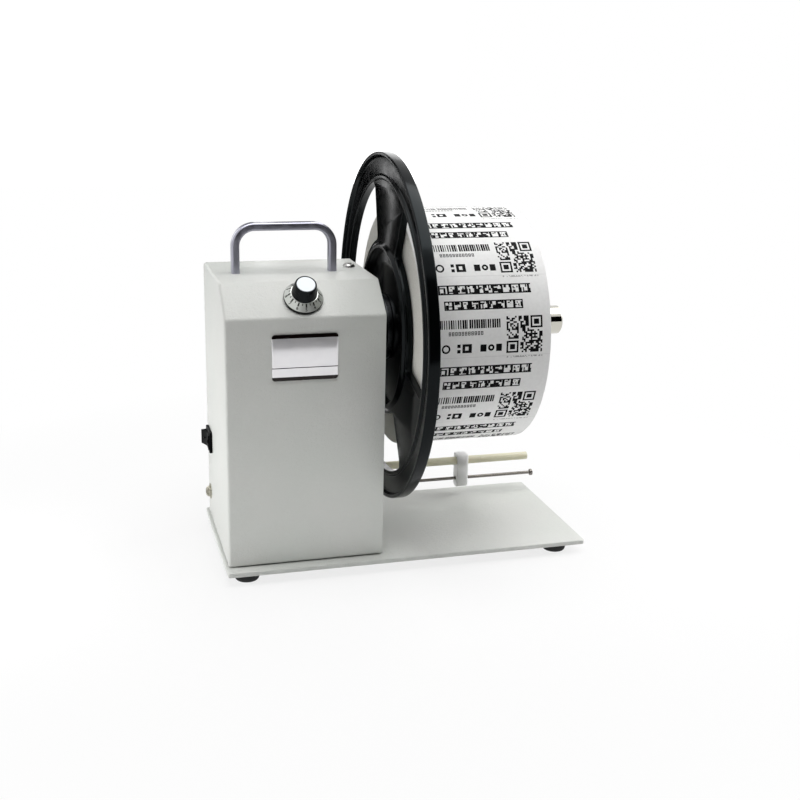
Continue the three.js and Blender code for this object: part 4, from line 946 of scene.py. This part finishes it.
def rocker_surface():
    """The rocker's hollow face and wedge-shaped root, seen from above, carried along Z."""
    across = np.linspace(-1, 1, 25)
    hollow = -SWITCH_PROUD - ROCKER_RISE * (0.2 + 0.8 * np.abs(across) ** 1.3)
    front = np.stack([hollow, across * (ROCKER_HALF - 0.2)], -1)
    half = ROCKER_HALF
    root = [(0.7, half), (3.9, 0.35 * half), (3.9, -0.35 * half), (0.7, -half)]
    return flat_plate([np.concatenate([front, root])[::-1]], -5.15, 5.15, "z", 0.35, 3)


paddle = [rocker_turn(rocker_surface())]
make_piece("rocker_paddle", paddle, SATIN_BLACK, "rocker", ["switch_rocker"])
ring_mark = lathe([(-3.9, 1.1), (-3.9, 1.5), (-2.6, 1.5), (-2.6, 1.1)], "x", (0, -5.0, 0), 40, True)
bar_mark = soft_block((-3.75, 3.4, -0.22), (-2.6, 6.6, 0.22), 0.05, 1)
marks = [rocker_turn(ring_mark), rocker_turn(bar_mark)]
make_piece("rocker_marks", marks, SATIN_BLACK, "rocker", ())

# Power inlet

socket_profile = [
    (90.2, 0), (90.2, 4.0), (104.2, 4.0), (104.2, 5.5), (105.4, 5.5), (105.7, 5.2), (105.7, 3.0),
    (105.5, 2.8), (94.4, 2.8), (94.4, 0),
]
pin_profile = [(93.0, 0), (93.0, 1.0), (102.8, 1.0), (103.2, 0.6), (103.2, 0)]
inlet_parts = [lathe(socket_profile, "y", INLET_AT, 64), lathe(pin_profile, "y", INLET_AT, 32)]
make_piece("power_socket", inlet_parts, SATIN_BLACK, "machine", ["dc_inlet"])

# Spindle and hub

AXIS = (0, AXIS_Y, AXIS_Z)


def turn_piece(name, profile, centre, sides, material, body, node, closed=False):
    """A piece that is one profile turned round a line along X."""
    make_piece(name, [lathe(profile, "x", centre, sides, closed)], material, body, [node])


(start, _, _), (end, _, _) = reach("spindle")
profile = [
    (start, 0), (start, 5.6), (start + 0.4, 6.0), (78.7, 6.0), (78.7, 9.7), (79.0, 10.0), (end - 1.3, 10.0),
    (end - 1.1, 9.94), (end - 0.15, 9.05), (end, 8.8), (end, 1.6), (end - 1.4, 0),
]
turn_piece("spindle_bar", profile, AXIS, 128, CHROME, "spindle_set", "spindle")
(start, _, _), (end, _, _) = reach("hub_collar")
corners = [(start, 10.15), (end, 10.15), (end, 22.0), (end - 4.0, 22.0), (end - 4.0, 15.0), (start, 15.0)]
profile = rounded(corners, [0.3, 0.3, 0.5, 0.5, 0.6, 0.6], 3)
turn_piece("collar_turning", profile, AXIS, 96, DARK_GREY_STEEL, "spindle_set", "hub_collar", True)

# Flange wheel

WHEEL_FACE, WHEEL_BACK, WHEEL_RADIUS = 110.2, 117.5, 115.8
WEB_FACE, WEB_BACK, FLOOR_FACE, RING_INNER = 112.7, 117.2, 115.0, 97.6
SPOKE_LEAN, SPOKES, WINDOW_HALF = 7.0, 3, 38.5
HUB_RIM, HUB_INNER = 55.0, 52.6
# A window's arcs: 1 where its corners lie inside the arc or -1, its radius, its corners' and its points
WINDOW_ARCS = ((1, RING_INNER + 0.3, 6.0, 41), (-1, 59.0, 4.0, 25))


def round_axis(radius, degrees):
    """Points in Y and Z on a circle; degrees from upright, forwards positive."""
    angle = np.radians(degrees)
    return np.stack([-radius * np.sin(angle), radius * np.cos(angle)], -1)


def window_outline(middle):
    """A sector between two spokes: four sides joined by arcs that touch both of their sides.

    A corner's centre lies one corner radius off the ring's arc and off the spoke's side.
    """
    pieces = []
    for outwards, ring, corner, count in WINDOW_ARCS:
        for side in (-outwards, outwards):
            distance = ring - outwards * corner
            far = side * (WINDOW_HALF - math.degrees(math.asin(corner / distance)))
            centre = round_axis(distance, middle + far)
            edge = round_axis(corner, middle + side * (WINDOW_HALF + 90))
            out = outwards * round_axis(corner, middle + far)
            if side == outwards:
                pieces.append(arc(centre, out, edge, 6))
                continue
            along_ring = round_axis(ring, np.linspace(middle + far, middle - far, count))
            pieces += [arc(centre, edge, out, 6), along_ring[1:-1]]
    return np.concatenate(pieces) + AXIS[1:]


ring_corners = [
    (WHEEL_FACE, 113.2), (WHEEL_FACE, WHEEL_RADIUS), (WHEEL_BACK, WHEEL_RADIUS), (WHEEL_BACK, 100.6),
    (WEB_BACK, 100.3), (WEB_BACK, RING_INNER), (111.7, RING_INNER), (111.7, 100.6), (113.2, 100.9),
    (113.2, 112.6),
]
ring_profile = rounded(ring_corners, [0.9, 0.9, 0.8, 0.1, 0.1, 0.5, 0.9, 0.9, 1.2, 1.2], 4)
hub_corners = [
    (111.0, HUB_INNER), (111.0, HUB_RIM), (113.4, HUB_RIM + 2.9), (116.4, HUB_RIM + 2.9),
    (116.4, HUB_INNER - 0.4), (FLOOR_FACE - 0.6, HUB_INNER - 0.4),
]
hub_profile = rounded(hub_corners, [0.8, 1.0, 1.5, 0, 0, 0.3], 4)
windows = [window_outline(SPOKE_LEAN + (k + 0.5) * 360 / SPOKES) for k in range(SPOKES)]
web_rim, pocket = circle(99.2, AXIS[1:], 256), circle(HUB_INNER - 0.2, AXIS[1:], 128)
floor_rim, bore = circle(HUB_RIM - 1, AXIS[1:], 128), circle(10.15, AXIS[1:], 64)
moulding = [
    lathe(ring_profile, "x", AXIS, 256, True), lathe(hub_profile, "x", AXIS, 192, True),
    flat_plate([web_rim, *windows, pocket], WEB_FACE, WEB_BACK, "x", 0.35, 3),
    flat_plate([floor_rim, bore], FLOOR_FACE, WEB_BACK, "x", 0.2, 2),
]
make_piece("flange_wheel_moulding", moulding, GLOSS_BLACK, "spindle_set", ["flange_wheel"])

# Label roll, card core and adapter

ROLL_RIGHT, ROLL_RADIUS = 202.4, 79.2
STRIP_THICK, STRIP_START, TAIL_ANGLE, ROLL_SIDES = 0.22, 76.4, math.radians(205), 360
# The section's rows: how far along, and on the sides the radius or on the face what it loses there
ROLL_ALONG = [0, 0, 0, 0, 0.12, 0.5, 28, 56, 84.1, 84.48, 84.6, 84.6, 84.6, 84.6]
SIDE_RADII, FACE_DROP = [22.5, 40, 60], [-0.55, -0.2, 0, 0, 0, 0, -0.2, -0.55]
SIDE_STRETCH = 6.0


def make_roll():
    """The wound strip: its outer radius grows by one strip's thickness in a turn, so that the
    strip's tail stands proud as a step at the tail angle.

    Each face corner holds its place on the strip: across it, along it, and 1 on the printed face.
    On the sides the place along it is the radius times the side's stretch.
    """
    turn = np.linspace(0, 2 * np.pi, ROLL_SIDES + 1)
    side, outer = np.array(SIDE_RADII)[:, None] + 0 * turn, ROLL_RADIUS - STRIP_THICK * turn / (2 * np.pi)
    radius = np.concatenate([side, outer + np.array(FACE_DROP)[:, None], side[::-1]])
    angle = TAIL_ANGLE - turn + 0 * radius
    along = np.array(ROLL_ALONG)[:, None] + 0 * radius
    points = [ROLL_LEFT + along, AXIS_Y - radius * np.sin(angle), AXIS_Z + radius * np.cos(angle)]
    faces = np.array(grid_faces(*radius.shape, close_rows=True, close_columns=True))[:, ::-1]
    across, span, run = (part.ravel()[faces] for part in (along, radius, angle * ROLL_RADIUS - STRIP_START))
    row = faces // radius.shape[1]
    first, last = len(side), len(radius) - len(side)
    printed = (row.min(1) >= first) & (row.max(1) < last) & (np.ptp(across, axis=1) > 0.05)
    printed = np.broadcast_to(printed[:, None], run.shape)
    strip = np.stack([across, np.where(printed, run, SIDE_STRETCH * span), printed], -1)
    mesh = bpy.data.meshes.new("label_roll_wound")
    mesh.from_pydata(metres(np.stack(points, -1).reshape(-1, 3)).tolist(), [], faces.tolist())
    layer = mesh.attributes.new("strip", "FLOAT_VECTOR", "CORNER")
    layer.data.foreach_set("vector", strip.astype(np.float32).ravel())
    dress(add_object("label_roll_wound", cleaned(mesh)), PAPER, "roll", ["label_roll"])


make_roll()
profile = rounded([(ROLL_LEFT, 20.0), (ROLL_RIGHT, 20.0), (ROLL_RIGHT, 22.4), (ROLL_LEFT, 22.4)], 0.3, 2)
turn_piece("card_tube", profile, AXIS, 96, CARD, "roll", "paper_core", True)
roll_middle = (ROLL_LEFT + ROLL_RIGHT) / 2
web_left, web_right = roll_middle - 3, roll_middle + 3
corners = [
    (ROLL_LEFT, 10.1), (ROLL_RIGHT, 10.1), (ROLL_RIGHT, 13.1), (web_right, 13.1), (web_right, 16.9),
    (ROLL_RIGHT, 16.9), (ROLL_RIGHT, 19.9), (ROLL_LEFT, 19.9), (ROLL_LEFT, 16.9), (web_left, 16.9),
    (web_left, 13.1), (ROLL_LEFT, 13.1),
]
profile = rounded(corners, 0.4, 2)
turn_piece("core_bush", profile, AXIS, 96, SATIN_BLACK, "roll", "core_adapter", True)

# Rods, arm and edge guide

UPPER, LOWER = (ROD_Y, ROD_Z), (ROD_Y, ROD_Z - ROD_SPACING)
SLEEVE_JOINT = 203.7
(start, _, _), (end, _, _) = reach("guide_rod")
profile = [
    (start, 0), (start, 2.7), (start + 0.3, 3.0), (SLEEVE_JOINT - 0.35, 3.0), (SLEEVE_JOINT - 0.15, 2.75),
    (SLEEVE_JOINT + 0.15, 2.75), (SLEEVE_JOINT + 0.3, 2.94), (end - 0.3, 2.94), (end, 2.65), (end, 1.9),
    (end - 2.5, 1.7), (end - 2.5, 0),
]
turn_piece("guide_sleeve", profile, (0, *UPPER), 64, CREAM, "machine", "guide_rod")
(start, _, _), (end, _, _) = reach("tension_rod")
profile = [(start, 0), (start, 1.2), (end, 1.2), (end, 0)]
turn_piece("tension_wire", profile, (0, *LOWER), 40, ROD_STEEL, "arm", "tension_rod")
(start, _, _), (end, _, _) = reach("rod_end_cap")
corners = [(start, 1.35), (start, 2.5), (end, 2.5), (end, 0), (end - 0.7, 0), (end - 0.7, 1.35)]
profile = rounded(corners, [0.1, 0.25, 0.5, 0, 0, 0], 4)
turn_piece("rod_end_button", profile, (0, *LOWER), 48, ROD_STEEL, "arm", "rod_end_cap", True)


def teardrop(upper, lower, steps=24):
    """The outline round two circles, one straight below the other by the rods' spacing."""
    tilt = math.asin((upper - lower) / ROD_SPACING)
    top = np.linspace(-tilt, np.pi + tilt, steps)
    bottom = np.linspace(np.pi + tilt, 2 * np.pi - tilt, steps)
    y = np.concatenate([upper * np.cos(top), lower * np.cos(bottom)])
    z = np.concatenate([upper * np.sin(top), lower * np.sin(bottom) - ROD_SPACING])
    return np.stack([y, z], -1) + UPPER


(start, _, _), (end, _, flag_top) = reach("swing_arm")
lever = [teardrop(5.5, 4.0), circle(3.08, UPPER), circle(1.35, LOWER, 24)]
boss_profile = [(start, 3.08), (start, 5.3), (start + 0.2, 5.5), (end - 1.0, 5.5), (end - 1.0, 3.08)]
arm_parts = [
    flat_plate(lever, end - 4.0, end, "x", 0.4, 2), lathe(boss_profile, "x", (0, *UPPER), 64, True),
    soft_block((start, ROD_Y - 2, ROD_Z + 4.6), (start + 4, ROD_Y + 2, flag_top), 0.3, 2),
]
make_piece("swing_lever", arm_parts, SATIN_NICKEL, "arm", ["swing_arm"])
low, high = reach("guide_block")
rim = box_outline(low[1], high[1], low[2], high[2], np.array([4.0, 4.0, 1.6, 1.6]), 8)
guide = [flat_plate([rim, circle(3.1, UPPER), circle(1.3, LOWER, 24)], low[0], high[0], "x", 0.5, 3)]
make_piece("edge_guide_block", guide, MILKY, "edge_guide", ["guide_block"])

# Camera, from the fit to the photograph's corners

LENS, SENSOR = 52.04, 36.0
CAMERA_AT = (-87.20, -686.65, 315.92)
CAMERA_RIGHT = (0.9619, -0.27258, 0.02133)
CAMERA_AHEAD = (0.26742, 0.92171, -0.28095)
CAMERA_UP = (0.05692, 0.27595, 0.95948)
lens = bpy.data.cameras.new("viewpoint")
lens.lens, lens.sensor_width = LENS, SENSOR
lens.clip_start, lens.clip_end = 0.05, 50.0
viewpoint = add_object("viewpoint", lens)
axes = np.column_stack([CAMERA_RIGHT, CAMERA_UP, -np.array(CAMERA_AHEAD)])
pose = Matrix(axes.tolist()).to_4x4()
pose.translation = Vector(metres(CAMERA_AT))
viewpoint.matrix_world = pose
scene.camera = viewpoint

# Floor

FLOOR_HALF, FLOOR_GAP = 6.0, 0.0002
FADE_FROM, FADE_TO = 0.18, 0.42


def mix_shaders(share, first, second, output):
    """Mixes two shaders by a share and leads the result to the output."""
    inputs = {0: share, 1: Value(first.outputs[0]), 2: Value(second.outputs[0])}
    add_node(share.tree, output, None, {"Surface": work_out(share.tree, "MixShader", None, inputs)})


def ray_share(tree, *kinds):
    """1 for the named kinds of ray and 0 for the others."""
    rays = add_node(tree, "LightPath")
    return most(*[Value(rays.outputs[f"Is {kind} Ray"]) for kind in kinds])


def make_card(name, corners, material):
    """A flat card with four corners, which belongs to the studio and not to the object."""
    mesh = bpy.data.meshes.new(name)
    mesh.from_pydata(np.array(corners).tolist(), [], [[0, 1, 2, 3]])
    mesh.materials.append(material)
    return add_object(name, mesh)


def studio_floor():
    """A pale matt floor that fades into the white surroundings away from the object."""
    material = bpy.data.materials.new("studio_floor")
    material.use_nodes = True
    tree = material.node_tree
    tree.nodes.clear()
    spot = work_out(tree, "TexCoord", output="Object")
    far = work_out(tree, "VectorMath", {"operation": "LENGTH"}, {0: spot}, "Value")
    fade = between(far, FADE_FROM, FADE_TO, 0.8, 1.0)
    matt = add_node(tree, "BsdfDiffuse", None, {"Color": linear("#EFEFEF")})
    glow = add_node(tree, "Emission", None, {"Color": (1, 1, 1, 1), "Strength": 1.0})
    mix_shaders(fade * ray_share(tree, "Camera", "Glossy"), matt, glow, "OutputMaterial")
    return material


floor_corners = np.array([(-1, -1, 0), (1, -1, 0), (1, 1, 0), (-1, 1, 0)]) * FLOOR_HALF
studio = make_card("floor", floor_corners, studio_floor())
studio.location.z = solid_low[2] - FLOOR_GAP

# World and lamps

WORLD_LIGHT = 0.01
world = bpy.data.worlds.new("studio")
world.use_nodes = True
scene.world = world
tree = world.node_tree
tree.nodes.clear()
seen = ray_share(tree, "Camera", "Glossy", "Transmission")
plain, white = [
    add_node(tree, "Background", None, {"Color": (1, 1, 1, 1), "Strength": strength})
    for strength in (WORLD_LIGHT, 1.0)
]
mix_shaders(seen, plain, white, "OutputWorld")


def softbox(name, at, towards, width, height, watts, reflected=True):
    """A rectangular lamp at a place in machine millimetres, facing another.

    Lamps close to the object only light it: neither the camera nor a reflection sees them.
    """
    lamp = bpy.data.lights.new(name, "AREA")
    lamp.shape, lamp.size, lamp.size_y, lamp.energy = "RECTANGLE", width, height, watts
    box = add_object(name, lamp)
    at, towards = Vector(metres(at)), Vector(metres(towards))
    box.location, box.rotation_mode = at, "QUATERNION"
    box.rotation_quaternion = (towards - at).to_track_quat("-Z", "Y")
    box.visible_camera = box.visible_glossy = reflected


softbox("top_softbox", (120, -60, 900), (110, 40, 120), 0.9, 0.7, 7.2)
softbox("right_softbox", (750, 100, 450), (150, 40, 20), 0.6, 0.6, 3.6)
softbox("rear_softbox", (60, 900, 420), (60, 60, 100), 0.8, 0.6, 1.8)
softbox("left_panel", (-230, 40, 85), (0, 40, 95), 0.16, 0.16, 0.41, False)
softbox("table_bounce", (60, -110, -8.8), (60, -110, 500), 0.32, 0.16, 0.092, False)

# Black cards that only reflections see: painted dark reflections, placed where a studio hangs its flags,
# which block no light and cast no shade: depth, left, right, low, high
DARK_REFLECTION_CARDS = {
    "front_flag": (-250, -50, 900, 108, 380), "rear_flag_left": (225, -10, 54, -8, 520),
    "rear_flag_right": (225, 67, 108, -8, 520),
}
for name, (depth, left, right, low, high) in DARK_REFLECTION_CARDS.items():
    corners = [(left, depth, low), (right, depth, low), (right, depth, high), (left, depth, high)]
    material, _, _ = start_material("black_card", "#020202", 1.0, Specular_IOR_Level=0.0)
    card = make_card(name, metres(corners), material)
    # Painted dark reflection: hidden from the camera, from light and from shadows, so only glossy rays meet
    # the card
    card.visible_camera = card.visible_diffuse = card.visible_shadow = False
    card.visible_transmission = card.visible_volume_scatter = False

scene.view_settings.view_transform = "Standard"
